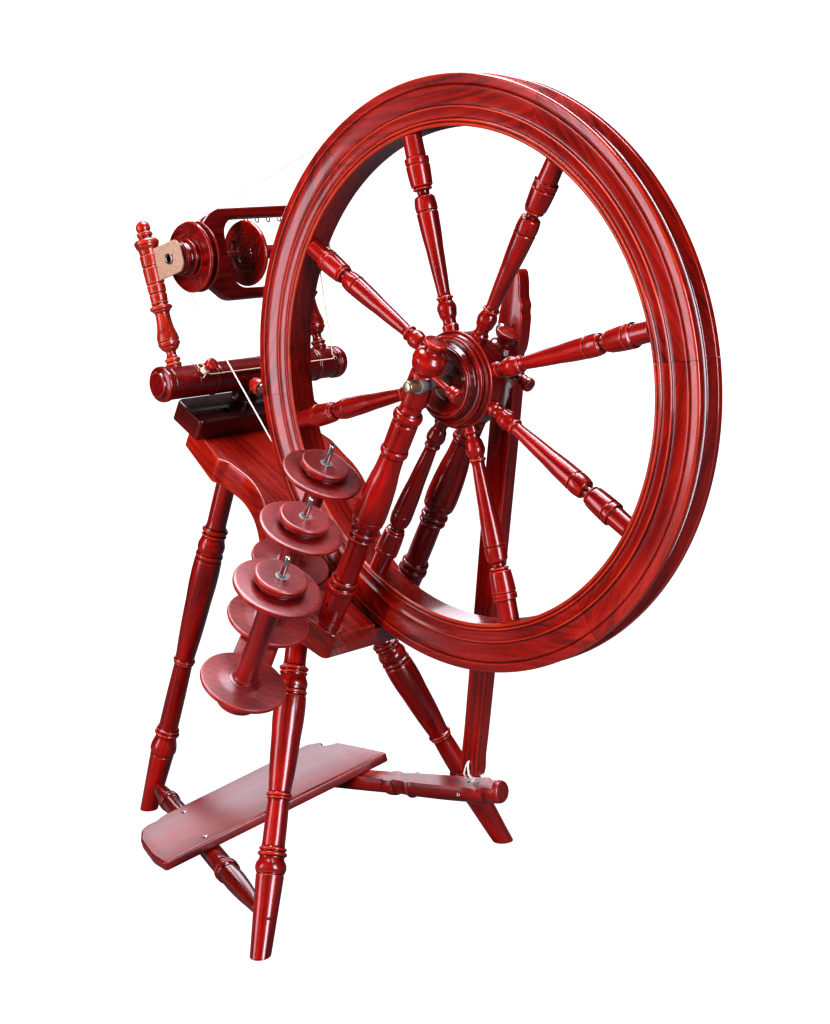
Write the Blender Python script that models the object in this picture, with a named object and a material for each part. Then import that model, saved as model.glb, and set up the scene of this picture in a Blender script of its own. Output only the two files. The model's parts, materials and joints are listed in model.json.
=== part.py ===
# Spinning wheel with a sloping table, flyer on the left, drive wheel on the right.
# Metres, +Z up, the spinner sits on the -Y side. Lengths are worked out from the wheel centre, then the
# whole assembly is lifted to its feet and centred.
import math
import bmesh
import bpy
import numpy as np
from mathutils import Matrix, Vector

for old in list(bpy.data.objects):
    bpy.data.objects.remove(old, do_unlink=True)

mm = 0.001
gap = 0.3 * mm             # clearance between pieces that touch

# sizes that drive the model
wheelRadius = 300 * mm     # outside of the rim
axleHeight = 589.4 * mm    # wheel centre above the floor
rimDepth = 50.5 * mm       # rim, measured along the radius
rimWidth = 36.6 * mm
grooveDepth = 8 * mm
spokeCount = 8
felloeCount = 6
spokePlane = -7.7 * mm     # the spokes stand a little in front of the rim's middle
spokePhase = 102.94        # degrees
axleRadius = 6 * mm
postSpacing = 106 * mm
postRadius = 13.7 * mm     # at the head, where the axle runs
tableTilt = 30.0           # degrees, down towards the wheel end
tableThick = 33 * mm
wheelClear = 4 * mm        # scoop in the table under the rim
crankThrow = 44.5 * mm
flyerAhead = 132.5 * mm    # flyer axis beyond the rim, measured level
flyerRise = 122.4 * mm     # flyer axis above the wheel axis
maidenLean = 14.7          # degrees
maidenReach = 38.4 * mm    # maiden axis to flyer axis
maidenDrop = 138.4 * mm    # flyer axis above the mother-of-all, along the maiden
moaRadius = 19.5 * mm
bobbinRadius = 39.4 * mm
bobbinLength = 99 * mm
whorlRadius = 41.4 * mm
kateBobbinRadius = 43.2 * mm
kateBobbinLength = 122.4 * mm
kateSpacing = 113.4 * mm
kateSwing = 39.4           # degrees from the table's front direction
treadleTilt = 14.0         # degrees, lever end up, crank at the top
pivotHeight = 36 * mm      # treadle pivot above the floor
boardThick = 12 * mm

X = Vector((1, 0, 0))
Y = Vector((0, 1, 0))
Z = Vector((0, 0, 1))
floorZ = -axleHeight
tilt = math.radians(tableTilt)
down = Vector((math.cos(tilt), 0, -math.sin(tilt)))     # along the table, towards the wheel end
square = Vector((math.sin(tilt), 0, math.cos(tilt)))    # square to the table, upwards
tableTop = -(wheelRadius - 4.2 * mm)                    # along square, from the wheel centre


def onTable(s, y, n):
    return down * s + Y * y + square * n


def material(name, colour, roughness=0.35, metallic=0.0):
    m = bpy.data.materials.new(name)
    m.use_nodes = True
    shader = m.node_tree.nodes["Principled BSDF"]
    shader.inputs["Base Color"].default_value = (*colour, 1)
    shader.inputs["Roughness"].default_value = roughness
    shader.inputs["Metallic"].default_value = metallic
    return m


woodDark = (0.16, 0.022, 0.014)
woodRed = (0.24, 0.035, 0.02)
steelGrey = (0.62, 0.62, 0.6)


def build(name, bm, origin, mat, smooth=True):
    """bm holds world positions; the object's origin is moved to origin."""
    bmesh.ops.recalc_face_normals(bm, faces=bm.faces)
    mesh = bpy.data.meshes.new(name)
    bmesh.ops.translate(bm, verts=bm.verts, vec=-origin)
    bm.to_mesh(mesh)
    bm.free()
    obj = bpy.data.objects.new(name, mesh)
    obj.location = origin
    bpy.context.collection.objects.link(obj)
    if smooth:
        for poly in mesh.polygons:
            poly.use_smooth = True
        mesh.set_sharp_from_angle(angle=math.radians(38))
    mesh.materials.append(mat)
    return obj


def frameAlong(direction, side=None):
    w = direction.normalized()
    hint = side or (Y if abs(w.dot(Y)) < 0.9 else X)
    u = (hint - w * hint.dot(w)).normalized()
    return u, w.cross(u), w


def turnedMesh(bm, profile, base, direction, segments=14, bore=0.0, side=None):
    """A closed turning: profile is (distance along, radius), bore leaves a straight hole."""
    u, v, w = frameAlong(direction, side)
    rings = []
    for along, radius in profile:
        ring = []
        for k in range(segments):
            a = 2 * math.pi * k / segments
            p = base + w * along + (u * math.cos(a) + v * math.sin(a)) * radius
            ring.append(bm.verts.new(p))
        rings.append(ring)
    if bore > 0:
        for along in (profile[-1][0], profile[0][0]):
            ring = []
            for k in range(segments):
                a = 2 * math.pi * k / segments
                p = base + w * along + (u * math.cos(a) + v * math.sin(a)) * bore
                ring.append(bm.verts.new(p))
            rings.append(ring)
        pairs = list(zip(rings, rings[1:] + rings[:1]))
    else:
        bm.faces.new(rings[0])
        bm.faces.new(rings[-1])
        pairs = list(zip(rings, rings[1:]))
    for one, two in pairs:
        for k in range(segments):
            j = (k + 1) % segments
            bm.faces.new((one[k], one[j], two[j], two[k]))


def turned(name, profile, base, direction, mat, segments=14, bore=0.0, origin=None, side=None):
    bm = bmesh.new()
    turnedMesh(bm, profile, base, direction, segments, bore, side)
    return build(name, bm, origin if origin is not None else base.copy(), mat)


def slab(name, outline, corner, along, across, thick, mat, origin=None, smooth=False):
    """Extrudes a flat outline of (along, across) points by the vector thick."""
    bm = bmesh.new()
    low = [bm.verts.new(corner + along * a + across * b) for a, b in outline]
    high = [bm.verts.new(v.co + thick) for v in low]
    bm.faces.new(low)
    bm.faces.new(high)
    for k in range(len(low)):
        j = (k + 1) % len(low)
        bm.faces.new((low[k], low[j], high[j], high[k]))
    return build(name, bm, origin if origin is not None else corner.copy(), mat, smooth)


def rod(bm, start, end, radius, segments=10):
    turnedMesh(bm, [(0, radius), ((end - start).length, radius)], start, end - start, segments)


def cut(obj, name, maker):
    """Boolean difference with the closed cutter that maker draws in world positions."""
    bm = bmesh.new()
    maker(bm)
    cutter = build(name, bm, Vector((0, 0, 0)), steel, smooth=False)
    cutter.hide_render = True
    cutter.display_type = "WIRE"
    mod = obj.modifiers.new(name, "BOOLEAN")
    mod.operation = "DIFFERENCE"
    mod.solver = "EXACT"
    mod.object = cutter
    return cutter


def join(obj, name, maker):
    """Boolean union with the closed shape that maker draws in world positions."""
    extra = cut(obj, name, maker)
    obj.modifiers[name].operation = "UNION"
    return extra


def tubeLoop(name, points, radius, mat, origin, sides=6, closed=True, flat=None):
    """A round cord along points (rotation kept square to flat when given)."""
    bm = bmesh.new()
    pts = [Vector(p) for p in points]
    rings = []
    count = len(pts)
    for i, p in enumerate(pts):
        before = pts[(i - 1) % count] if closed or i > 0 else p
        after = pts[(i + 1) % count] if closed or i < count - 1 else p
        tangent = (after - before).normalized()
        u = (flat - tangent * flat.dot(tangent)).normalized()
        v = tangent.cross(u)
        ring = []
        for k in range(sides):
            a = 2 * math.pi * k / sides
            ring.append(bm.verts.new(p + (u * math.cos(a) + v * math.sin(a)) * radius))
        rings.append(ring)
    pairs = list(zip(rings, rings[1:]))
    if closed:
        pairs.append((rings[-1], rings[0]))
    else:
        bm.faces.new(rings[0])
        bm.faces.new(rings[-1])
    for one, two in pairs:
        for k in range(sides):
            j = (k + 1) % sides
            bm.faces.new((one[k], one[j], two[j], two[k]))
    return build(name, bm, origin, mat)


steel = material("steel", steelGrey, 0.25, 1.0)

# ---------------------------------------------------------------- table
tableFront = -97 * mm      # widest point of the front edge
waistFront = 5 * mm
tableRear = 78 * mm
highEnd = -(wheelRadius + 62 * mm)
wheelEnd = 27 * mm
waistS = -(wheelRadius - 52 * mm)
shoulderS = -30 * mm

outline = [(highEnd, 6 * mm), (waistS - 39 * mm, waistFront - 13 * mm), (waistS - 30 * mm, waistFront - 5 * mm)]
for k in range(15):
    f = k / 14
    blend = f * f * (3 - 2 * f)
    outline.append((waistS + (shoulderS - waistS) * f, waistFront + (tableFront - waistFront) * blend))
outline += [(-4 * mm, tableFront + 2 * mm), (wheelEnd - 4 * mm, tableFront + 9 * mm), (wheelEnd, tableFront + 13 * mm)]
outline += [(wheelEnd, tableRear - 10 * mm), (-4 * mm, tableRear), (shoulderS, tableRear + 2 * mm)]
highRear = 168 * mm
for k in range(9):
    f = k / 8
    blend = f * f * (3 - 2 * f)
    outline.append((shoulderS + (waistS - shoulderS) * f * 0.98 - 8 * mm, tableRear + 2 * mm + (highRear - tableRear) * blend))
outline += [(waistS - 39 * mm, highRear + 6 * mm), (highEnd, highRear - 10 * mm)]
tableMat = material("table_wood", woodDark)
table = slab("table", outline, onTable(0, 0, tableTop - tableThick), down, Y, square * tableThick, tableMat)


def scoop(bm):
    rod(bm, Vector((0, -rimWidth * 0.5 - 6 * mm, 0)), Vector((0, rimWidth * 0.5 + 6 * mm, 0)),
        wheelRadius + wheelClear, 72)


cut(table, "cutter_scoop", scoop)

# ---------------------------------------------------------------- legs
legAFoot = Vector((-(wheelRadius + 293 * mm), -1.4 * mm, floorZ))
legATop = Vector((0.335, 0.1, 1.0))
legBFoot = Vector((-132 * mm, -204 * mm, floorZ))
legBTop = Vector((-0.245, 0.46, 1.0))
legCFoot = Vector((-155.5 * mm, 201.2 * mm, floorZ))
legCTop = Vector((-0.245, -0.46, 1.0))
tableUnder = tableTop - tableThick


def legLength(foot, lean):
    run = (tableUnder - gap * 2 - foot.dot(square)) / lean.normalized().dot(square)
    return run


# the foot is the same on every leg: mm up the leg, radius in mm
footProfile = [(0, 11.0), (85, 15.6), (90, 16.8), (102, 14.0), (107, 15.8), (116, 12.4)]
# above it, share of the leg's length, radius in mm
legProfile = [(0.438, 11.6), (0.446, 14.2), (0.462, 12.2), (0.70, 17.4), (0.744, 16.6), (0.75, 15.6), (0.80, 15.6),
              (0.812, 16.8), (0.826, 12.8), (1.0, 12.2)]


def leg(name, foot, lean, mat, upper=1.0):
    """The foot is cut level with the floor and the top follows the table's underside."""
    axis = lean.normalized()
    length = legLength(foot, lean)
    u, v, w = frameAlong(axis)
    bm = bmesh.new()
    segments = 10
    rings = []
    profile = [(h * mm, r) for h, r in footProfile] + [(f * length * (upper if f < 1 else 1), r) for f, r in legProfile]
    last = len(profile) - 1
    for i, (h, r) in enumerate(profile):
        ring = []
        for k in range(segments):
            a = 2 * math.pi * k / segments
            off = (u * math.cos(a) + v * math.sin(a)) * r * mm
            p = foot + w * h + off
            if i == 0:
                p -= w * (off.dot(Z) / w.dot(Z))
            if i == last:
                p -= w * (off.dot(square) / w.dot(square))
            ring.append(bm.verts.new(p))
        rings.append(ring)
    bm.faces.new(rings[0])
    bm.faces.new(rings[-1])
    for one, two in zip(rings, rings[1:]):
        for k in range(segments):
            j = (k + 1) % segments
            bm.faces.new((one[k], one[j], two[j], two[k]))
    return build(name, bm, foot.copy(), mat)


legMat = material("leg_wood", woodRed)
legA = leg("leg_flyer_end", legAFoot, legATop, legMat)
legB = leg("leg_front", legBFoot, legBTop, legMat)
legC = leg("leg_back", legCFoot, legCTop, legMat, 0.925)

# ---------------------------------------------------------------- wheel posts
postS = -3.5 * mm
frontPostY = spokePlane - postSpacing * 0.5 - 2.3 * mm
rearPostY = spokePlane + postSpacing * 0.5 - 2.3 * mm
postDrop = -tableTop - gap      # post foot to wheel centre, along square
pegN = axleRadius + 5 * mm      # retaining peg above the axle
postMat = material("post_wood", woodDark)
# height above the table (share of the way to the axle below it, mm above the axle past it), radius
postLow = [(0.0, 13.4), (0.125, 15.6), (0.142, 15.6), (0.155, 14.2), (0.172, 12.8), (0.355, 12.6), (0.365, 15.2),
           (0.39, 15.2), (0.40, 12.8), (0.44, 17.6), (0.50, 16.6), (0.70, 12.8), (0.715, 14.8), (0.735, 13.6),
           (0.83, 13.8), (0.85, 15.6), (0.875, 11.6), (0.905, 11.8), (0.925, 13.7)]
postHigh = [(15.0, 13.7), (27.0, 16.9), (34.0, 14.6), (37.0, 9.0), (41.0, 9.4), (44.0, 12.0), (48.5, 11.0)]


def post(name, y):
    profile = [(postDrop * f, r * mm) for f, r in postLow] + [(postDrop + h * mm, r * mm) for h, r in postHigh]
    obj = turned(name, profile, onTable(postS, y, tableTop + gap), square, postMat, 10)

    def axleHole(bm):
        rod(bm, Vector((0, y - 40 * mm, 0)), Vector((0, y + 40 * mm, 0)), axleRadius + 2.6 * mm + gap, 16)

    def pegHole(bm):
        rod(bm, onTable(postS - 30 * mm, y, pegN + 4 * mm), onTable(postS + 40 * mm, y, pegN + 4 * mm),
            2.6 * mm + gap, 12)

    cut(obj, "cutter_axle_" + name, axleHole)
    cut(obj, "cutter_peg_" + name, pegHole)
    return obj


post("post_front", frontPostY)
post("post_rear", rearPostY)
leatherTan = material("bearing_leather", (0.5, 0.27, 0.13), 0.7)
for name, y in (("axle_bearing_front", frontPostY), ("axle_bearing_rear", rearPostY)):
    turned(name, [(0, axleRadius + 2.6 * mm), (16 * mm, axleRadius + 2.6 * mm)], Vector((0, y - 8 * mm, 0)), Y,
           leatherTan, 16, axleRadius + gap)
pegMat = material("peg_wood", woodRed)
for name, y in (("axle_peg_front", frontPostY), ("axle_peg_rear", rearPostY)):
    profile = [(0, 2.2), (8, 2.6), (51, 2.6), (54, 7.0), (60, 7.4), (65, 4.6)]
    turned(name, [(a * mm, r * mm) for a, r in profile], onTable(postS - 15 * mm, y, pegN + 4 * mm), down, pegMat, 10)

# ---------------------------------------------------------------- drive wheel
centre = Vector((0, 0, 0))
rimInner = wheelRadius - rimDepth
half = rimWidth * 0.5
rimMat = material("rim_wood", woodRed)
# (sideways as a share of half the width, inwards from the rim's outside in mm)
face = [(-1.0, 50.5), (-1.0, 42.5), (-0.92, 41.0), (-1.0, 39.0), (-0.82, 24.0), (-0.88, 9.0), (-1.0, 7.0),
        (-0.97, 0.0)]
groove = [(-0.60, 0.0), (-0.24, grooveDepth / mm), (0.24, grooveDepth / mm), (0.60, 0.0)]
back = [(0.97, 0.0), (1.0, 40.0), (0.80, 50.5)]
rimScale = rimDepth / (50.5 * mm)
rimProfile = [(s * half, wheelRadius - d * mm * (1.0 if d <= grooveDepth / mm else rimScale))
              for s, d in face + groove + back]


felloeSteps = 10
flat = math.cos(math.pi / felloeCount / felloeSteps)     # rim's flats lie this share inside its circle


def felloe(index):
    seam = math.radians(6 + 360 / felloeCount * index)
    edge = gap * 0.5 / rimInner
    steps = felloeSteps
    bm = bmesh.new()
    rings = []
    for k in range(steps + 1):
        a = seam + edge + (2 * math.pi / felloeCount - 2 * edge) * k / steps
        rings.append([bm.verts.new(Vector((r * math.cos(a), y, r * math.sin(a)))) for y, r in rimProfile])
    bm.faces.new(rings[0])
    bm.faces.new(rings[-1])
    n = len(rimProfile)
    for one, two in zip(rings, rings[1:]):
        for k in range(n):
            j = (k + 1) % n
            bm.faces.new((one[k], one[j], two[j], two[k]))
    return build("felloe_%d" % (index + 1), bm, centre.copy(), rimMat)


for i in range(felloeCount):
    felloe(i)

hubRadius = 50 * mm
hubMat = material("hub_wood", woodDark)
hubProfile = [(-28.3, 36.0), (-19.5, 40.0), (-17.5, 45.0), (-9.0, 50.0), (11.0, 50.0), (13.0, 46.0), (28.3, 30.0)]
turned("hub", [(y * mm, r * mm) for y, r in hubProfile], Vector((0, spokePlane, 0)), Y, hubMat, 22,
       axleRadius + gap, origin=centre.copy())

spokeMat = material("spoke_wood", woodRed)
# share of the way from the hub to the rim, radius in mm
spokeProfile = [(0.0, 8.4), (0.05, 6.8), (0.11, 9.6), (0.155, 7.0), (0.18, 8.4), (0.205, 6.8), (0.61, 11.2),
                (0.68, 10.4), (0.70, 6.4), (0.73, 11.4), (0.88, 12.5), (0.89, 10.2), (1.0, 10.0)]
for i in range(spokeCount):
    a = math.radians(spokePhase - 360 / spokeCount * i)
    out = Vector((math.cos(a), 0, math.sin(a)))
    start = hubRadius + gap
    reach = math.sqrt((rimInner * flat) ** 2 - (10 * mm) ** 2) - gap - start
    turned("spoke_%d" % (i + 1), [(reach * f, r * mm) for f, r in spokeProfile],
           Vector((0, spokePlane, 0)) + out * start, out, spokeMat, 10, origin=centre.copy())

# axle, crank arm and crank pin are one bent steel piece, the crank at the top in front of the footman
crankAngle = math.radians(107)
pinX = crankThrow * math.cos(crankAngle)
pinZ = crankThrow * math.sin(crankAngle)
axleFront = frontPostY - 19 * mm
armY = rearPostY + 24 * mm
armThick = 8 * mm
footmanY = armY + armThick + 5 * mm
bm = bmesh.new()
u = Vector((math.cos(crankAngle), 0, math.sin(crankAngle)))
v = Vector((-u.z, 0, u.x))
armPoints = []
for k in range(7):
    a = math.pi * (0.5 + k / 6)
    armPoints.append((u * math.cos(a) + v * math.sin(a)) * (axleRadius + 3 * mm))
for k in range(7):
    a = math.pi * (-0.5 + k / 6)
    armPoints.append(u * crankThrow + (u * math.cos(a) + v * math.sin(a)) * (axleRadius + 1 * mm))
low = [bm.verts.new(p + Y * armY) for p in armPoints]
high = [bm.verts.new(p + Y * (armY + armThick)) for p in armPoints]
bm.faces.new(low)
bm.faces.new(high)
for k in range(len(low)):
    j = (k + 1) % len(low)
    bm.faces.new((low[k], low[j], high[j], high[k]))
axle = build("axle_crank", bm, centre.copy(), steel)


def axleRod(bm):
    rod(bm, Vector((0, axleFront, 0)), Vector((0, armY + armThick * 0.5, 0)), axleRadius, 16)


def crankPin(bm):
    rod(bm, Vector((pinX, armY + 3 * mm, pinZ)), Vector((pinX, footmanY - 1 * mm, pinZ)), 5 * mm, 12)


join(axle, "join_axle", axleRod)
join(axle, "join_pin", crankPin)

# ---------------------------------------------------------------- mother-of-all
flyerX = -(wheelRadius + flyerAhead)
lean = math.radians(maidenLean)
maidenAxis = Vector((-math.sin(lean), 0, math.cos(lean)))
maidenSide = Vector((math.cos(lean), 0, math.sin(lean)))
flyerAxis = Vector((flyerX, 0, flyerRise))
moaAxis = flyerAxis - maidenAxis * maidenDrop - maidenSide * maidenReach
frontMaidenY = -31 * mm
rearMaidenY = frontMaidenY + 131 * mm + bobbinLength
moaStart = frontMaidenY - 31 * mm
moaEnd = rearMaidenY + 27 * mm
moaLength = moaEnd - moaStart
moaMat = material("moa_wood", woodDark)
moaProfile = [(0.0, 14.0), (0.018, 20.5), (0.03, 18.6), (0.036, 21.4), (0.05, 21.4), (0.058, 19.5), (0.52, 19.5),
              (0.525, 18.6), (0.53, 19.5), (0.83, 19.5), (0.84, 20.8), (0.855, 20.8), (0.862, 19.2), (0.945, 19.2),
              (0.955, 20.8), (0.985, 20.8), (1.0, 16.5)]
moaScale = moaRadius / (19.5 * mm)
moa = turned("mother_of_all", [(moaLength * f, r * mm * moaScale) for f, r in moaProfile],
             moaAxis + Y * moaStart, Y, moaMat, 14, origin=moaAxis.copy())
tenonRadius = 7 * mm
moaN = moaAxis.dot(square)
moaS = moaAxis.dot(down)
blockTop = tableTop + 26 * mm
neckRadius = 15 * mm
neckY = (moaStart + moaEnd) * 0.5


def maidenSockets(bm):
    for y in (frontMaidenY, rearMaidenY):
        start = moaAxis + Y * y + maidenAxis * 6 * mm
        rod(bm, start, start + maidenAxis * 40 * mm, tenonRadius + gap, 12)
    rod(bm, onTable(moaS, neckY, moaN - 6 * mm), onTable(moaS, neckY, moaN - 40 * mm), neckRadius + gap, 16)


cut(moa, "cutter_moa", maidenSockets)

# the block lies on the table's high end and carries the mother-of-all on a round neck
blockFront = -13 * mm
blockRear = 176 * mm
blockIn = moaS - 13 * mm
blockOut = moaS + 39 * mm
blockOutline = [(blockIn, blockFront + 6 * mm), (blockIn + 4 * mm, blockFront), (blockOut - 2 * mm, blockFront),
                (blockOut, blockFront + 2 * mm), (blockOut, blockRear - 2 * mm), (blockOut - 2 * mm, blockRear),
                (blockIn + 4 * mm, blockRear), (blockIn, blockRear - 6 * mm)]
block = slab("moa_block", blockOutline, onTable(0, 0, tableTop + gap), down, Y,
             square * (blockTop - tableTop - gap), tableMat)


def blockHoles(bm):
    rod(bm, onTable(moaS + 22 * mm, 38 * mm, tableTop - 20 * mm), onTable(moaS + 22 * mm, 38 * mm, blockTop + 20 * mm),
        5 * mm, 14)


cut(block, "cutter_block", blockHoles)


def neck(bm):
    rod(bm, onTable(moaS, neckY, blockTop - 5 * mm), onTable(moaS, neckY, moaN - 6 * mm - gap), neckRadius, 16)


join(block, "join_neck", neck)

knobY = 64.6 * mm
knobAxis = Vector((math.cos(math.radians(-23)), 0, math.sin(math.radians(-23))))
turned("tension_knob", [(0, 3.0 * mm), (6 * mm, 3.2 * mm), (7 * mm, 9 * mm), (12 * mm, 10.5 * mm), (19 * mm, 9.5 * mm),
                        (22 * mm, 5 * mm)], moaAxis + Y * knobY + knobAxis * (moaRadius + gap + 0.4 * mm), knobAxis,
       pegMat, 12)

brakeY = -8.3 * mm
brakeAxis = Vector((math.cos(math.radians(29)), 0, math.sin(math.radians(29))))
turned("brake_peg", [(0, 3.0 * mm), (14 * mm, 3.0 * mm), (15 * mm, 4.4 * mm), (18 * mm, 7.2 * mm), (24 * mm, 7.6 * mm),
                     (26 * mm, 6.0 * mm)], moaAxis + Y * brakeY + brakeAxis * (moaRadius + gap + 0.3 * mm), brakeAxis,
       pegMat, 12)

# ---------------------------------------------------------------- maidens
maidenMat = material("maiden_wood", woodRed)
flyerAlong = maidenDrop
maidenProfile = [(8, 7.0), (19.9, 7.0), (19.9, 9.8), (23.5, 8.6), (30.0, 8.4), (34.0, 6.0), (45.0, 12.8),
                 (62.0, 10.4), (82.0, 9.0), (86.5, 13.4), (91.5, 13.4), (94.5, 10.4), (152.0, 11.6), (158.0, 11.2),
                 (164.0, 14.6), (169.0, 14.6), (173.0, 8.6), (178.0, 9.4), (184.0, 8.8), (191.0, 7.0), (194.0, 3.0)]
plateThick = 3 * mm


def maiden(name, y):
    base = moaAxis + Y * y
    seat = moaRadius + 0.4 * mm
    grow = (maidenDrop - seat) / (138.4 * mm - 19.9 * mm)
    profile = [(a * mm if a < 19.9 else seat + (a - 19.9) * mm * grow, r * mm) for a, r in maidenProfile]
    obj = turned(name, profile, base, maidenAxis, maidenMat, 10)

    def slot(bm):
        low = base + maidenAxis * (flyerAlong - 16 * mm - gap) - Y * (plateThick * 0.5 + gap) - maidenSide * 2 * mm
        size = (maidenSide * 30 * mm, Y * (plateThick + 2 * gap), maidenAxis * (32 * mm + 2 * gap))
        corners = []
        for i in (0, 1):
            for j in (0, 1):
                for k in (0, 1):
                    corners.append(bm.verts.new(low + size[0] * i + size[1] * j + size[2] * k))
        for ids in ((0, 1, 3, 2), (4, 5, 7, 6), (0, 1, 5, 4), (2, 3, 7, 6), (0, 2, 6, 4), (1, 3, 7, 5)):
            bm.faces.new([corners[i] for i in ids])

    cut(obj, "cutter_" + name, slot)
    return obj


maiden("maiden_front", frontMaidenY)
maiden("maiden_rear", rearMaidenY)
frontTube = 6.2 * mm
rearTube = 4 * mm


def plate(name, y, hole):
    base = moaAxis + Y * (y - plateThick * 0.5) + maidenAxis * flyerAlong
    out = maidenReach + 16 * mm
    points = [(-1.5 * mm, -16 * mm), (out - 5 * mm, -16 * mm), (out, -11 * mm), (out, 11 * mm), (out - 5 * mm, 16 * mm),
              (-1.5 * mm, 16 * mm)]
    obj = slab(name, points, base, maidenSide, maidenAxis, Y * plateThick, leatherTan)

    def bore(bm):
        at = flyerAxis + Y * y
        rod(bm, at - Y * 10 * mm, at + Y * 10 * mm, hole + gap, 18)

    cut(obj, "cutter_" + name, bore)
    return obj


plate("leather_front", frontMaidenY, frontTube)
plate("leather_rear", rearMaidenY, rearTube)

# ---------------------------------------------------------------- flyer
shaftRadius = 5 * mm
whorlY = 2.5 * mm          # drive groove of the whorl, in line with the rim's groove
tubeFront = frontMaidenY - 4 * mm
flyerBack = rearMaidenY + 7 * mm
bm = bmesh.new()
shaftProfile = [(0, 6.6), (1.0, 6.6), (1.0, 6.2), (7.5, 6.2), (8.5, 5.0)]
tail = flyerBack - tubeFront
tailStart = rearMaidenY - plateThick * 0.5 - 2 * mm - tubeFront
profile = [(a * mm, r * mm) for a, r in shaftProfile]
profile += [(tailStart, shaftRadius), (tailStart + 1 * mm, rearTube), (tail, rearTube)]
turnedMesh(bm, profile, flyerAxis + Y * tubeFront, Y, 16)
shaft = build("flyer_shaft", bm, flyerAxis.copy(), steel)


def orifice(bm):
    rod(bm, flyerAxis + Y * (tubeFront - 10 * mm), flyerAxis + Y * (tubeFront + 22 * mm), 3.6 * mm, 14)


cut(shaft, "cutter_orifice", orifice)

whorlMat = material("whorl_wood", woodDark)
grooveR = whorlRadius - 6.4 * mm
whorlProfile = [(-26.0, 19.0), (-20.0, 21.0), (-17.0, 18.0), (-13.0, 22.5), (-9.0, 19.0), (-7.6, 19.0),
                (-7.4, 39.5)]
profile = [(a * mm, r * mm) for a, r in whorlProfile]
profile += [(-5.6 * mm, whorlRadius), (-3.6 * mm, whorlRadius), (-1.5 * mm, grooveR), (1.5 * mm, grooveR),
            (3.6 * mm, whorlRadius), (6.2 * mm, whorlRadius), (7.2 * mm, 20 * mm)]
turned("flyer_whorl", profile, flyerAxis + Y * whorlY, Y, whorlMat, 20, shaftRadius + gap, origin=flyerAxis.copy())

flyerMat = material("flyer_wood", woodDark)
uFront = whorlY + 7.2 * mm + gap
armIn = bobbinRadius + 2.6 * mm
armOut = armIn + 12.5 * mm
throat = uFront + 38 * mm
bobbinFront = frontMaidenY + 110 * mm
bobbinBack = bobbinFront + bobbinLength
armTip = bobbinBack - 1.5 * mm
uHalf = [(uFront, 32 * mm), (uFront + 27 * mm, armOut), (armTip - 3 * mm, armOut), (armTip, armOut - 3 * mm),
         (armTip, armIn), (throat + 16 * mm, armIn), (throat + 8 * mm, armIn - 3 * mm), (throat, armIn - 14 * mm)]
points = uHalf + [(y, -z) for y, z in reversed(uHalf)]
roll = math.radians(12)
upFlyer = Vector((-math.sin(roll), 0, math.cos(roll)))
sideFlyer = Vector((math.cos(roll), 0, math.sin(roll)))
flyer = slab("flyer", points, flyerAxis - sideFlyer * 7 * mm, Y, upFlyer, sideFlyer * 14 * mm, flyerMat,
             origin=flyerAxis.copy())


def flyerBore(bm):
    rod(bm, flyerAxis + Y * (uFront - 20 * mm), flyerAxis + Y * (throat + 20 * mm), shaftRadius + gap, 16)


cut(flyer, "cutter_flyer", flyerBore)

# wire hooks under the far arm and over the near arm, one small bent wire each
hookMat = material("hook_wire", steelGrey, 0.3, 1.0)
for i in range(4):
    side = 1 if i < 3 else -1
    y = bobbinFront + (11 + 17.5 * i) * mm if i < 3 else bobbinFront + 28 * mm
    top = flyerAxis + Y * y + upFlyer * side * (armIn - gap)
    pts = []
    for k in range(8):
        a = math.pi * 1.35 * k / 7
        pts.append(top - upFlyer * side * (1.2 * mm + 1.3 * mm * (1 - math.cos(a)) * 0.5) + sideFlyer * 0.0
                   + Y * (2.6 * mm * math.sin(a)))
    pts = [top, top - upFlyer * side * 0.7 * mm] + pts[2:]
    tubeLoop("hook_%d" % (i + 1), pts, 0.45 * mm, hookMat, flyerAxis.copy(), 6, False, sideFlyer)

bobbinMat = material("bobbin_wood", woodRed)


def bobbin(name, base, axis, length, flange, bore, origin, whorl, core, whorlHigh):
    """Flanges at both ends and a small brake whorl past the far one."""
    thick = 7 * mm
    profile = [(0, flange - 1 * mm), (1.5 * mm, flange), (5 * mm, flange), (thick, core), (length - thick, core),
               (length - 5 * mm, flange), (length - 1.5 * mm, flange), (length, whorl - 4 * mm),
               (length + whorlHigh * 0.3, whorl - 4 * mm), (length + whorlHigh * 0.5, whorl),
               (length + whorlHigh, whorl)]
    return turned(name, profile, base, axis, bobbinMat, 18, bore, origin=origin)


bobbin("bobbin", flyerAxis + Y * bobbinFront, Y, bobbinLength, bobbinRadius, shaftRadius + gap,
       flyerAxis.copy(), 22 * mm, 9 * mm, 9 * mm)

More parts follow.
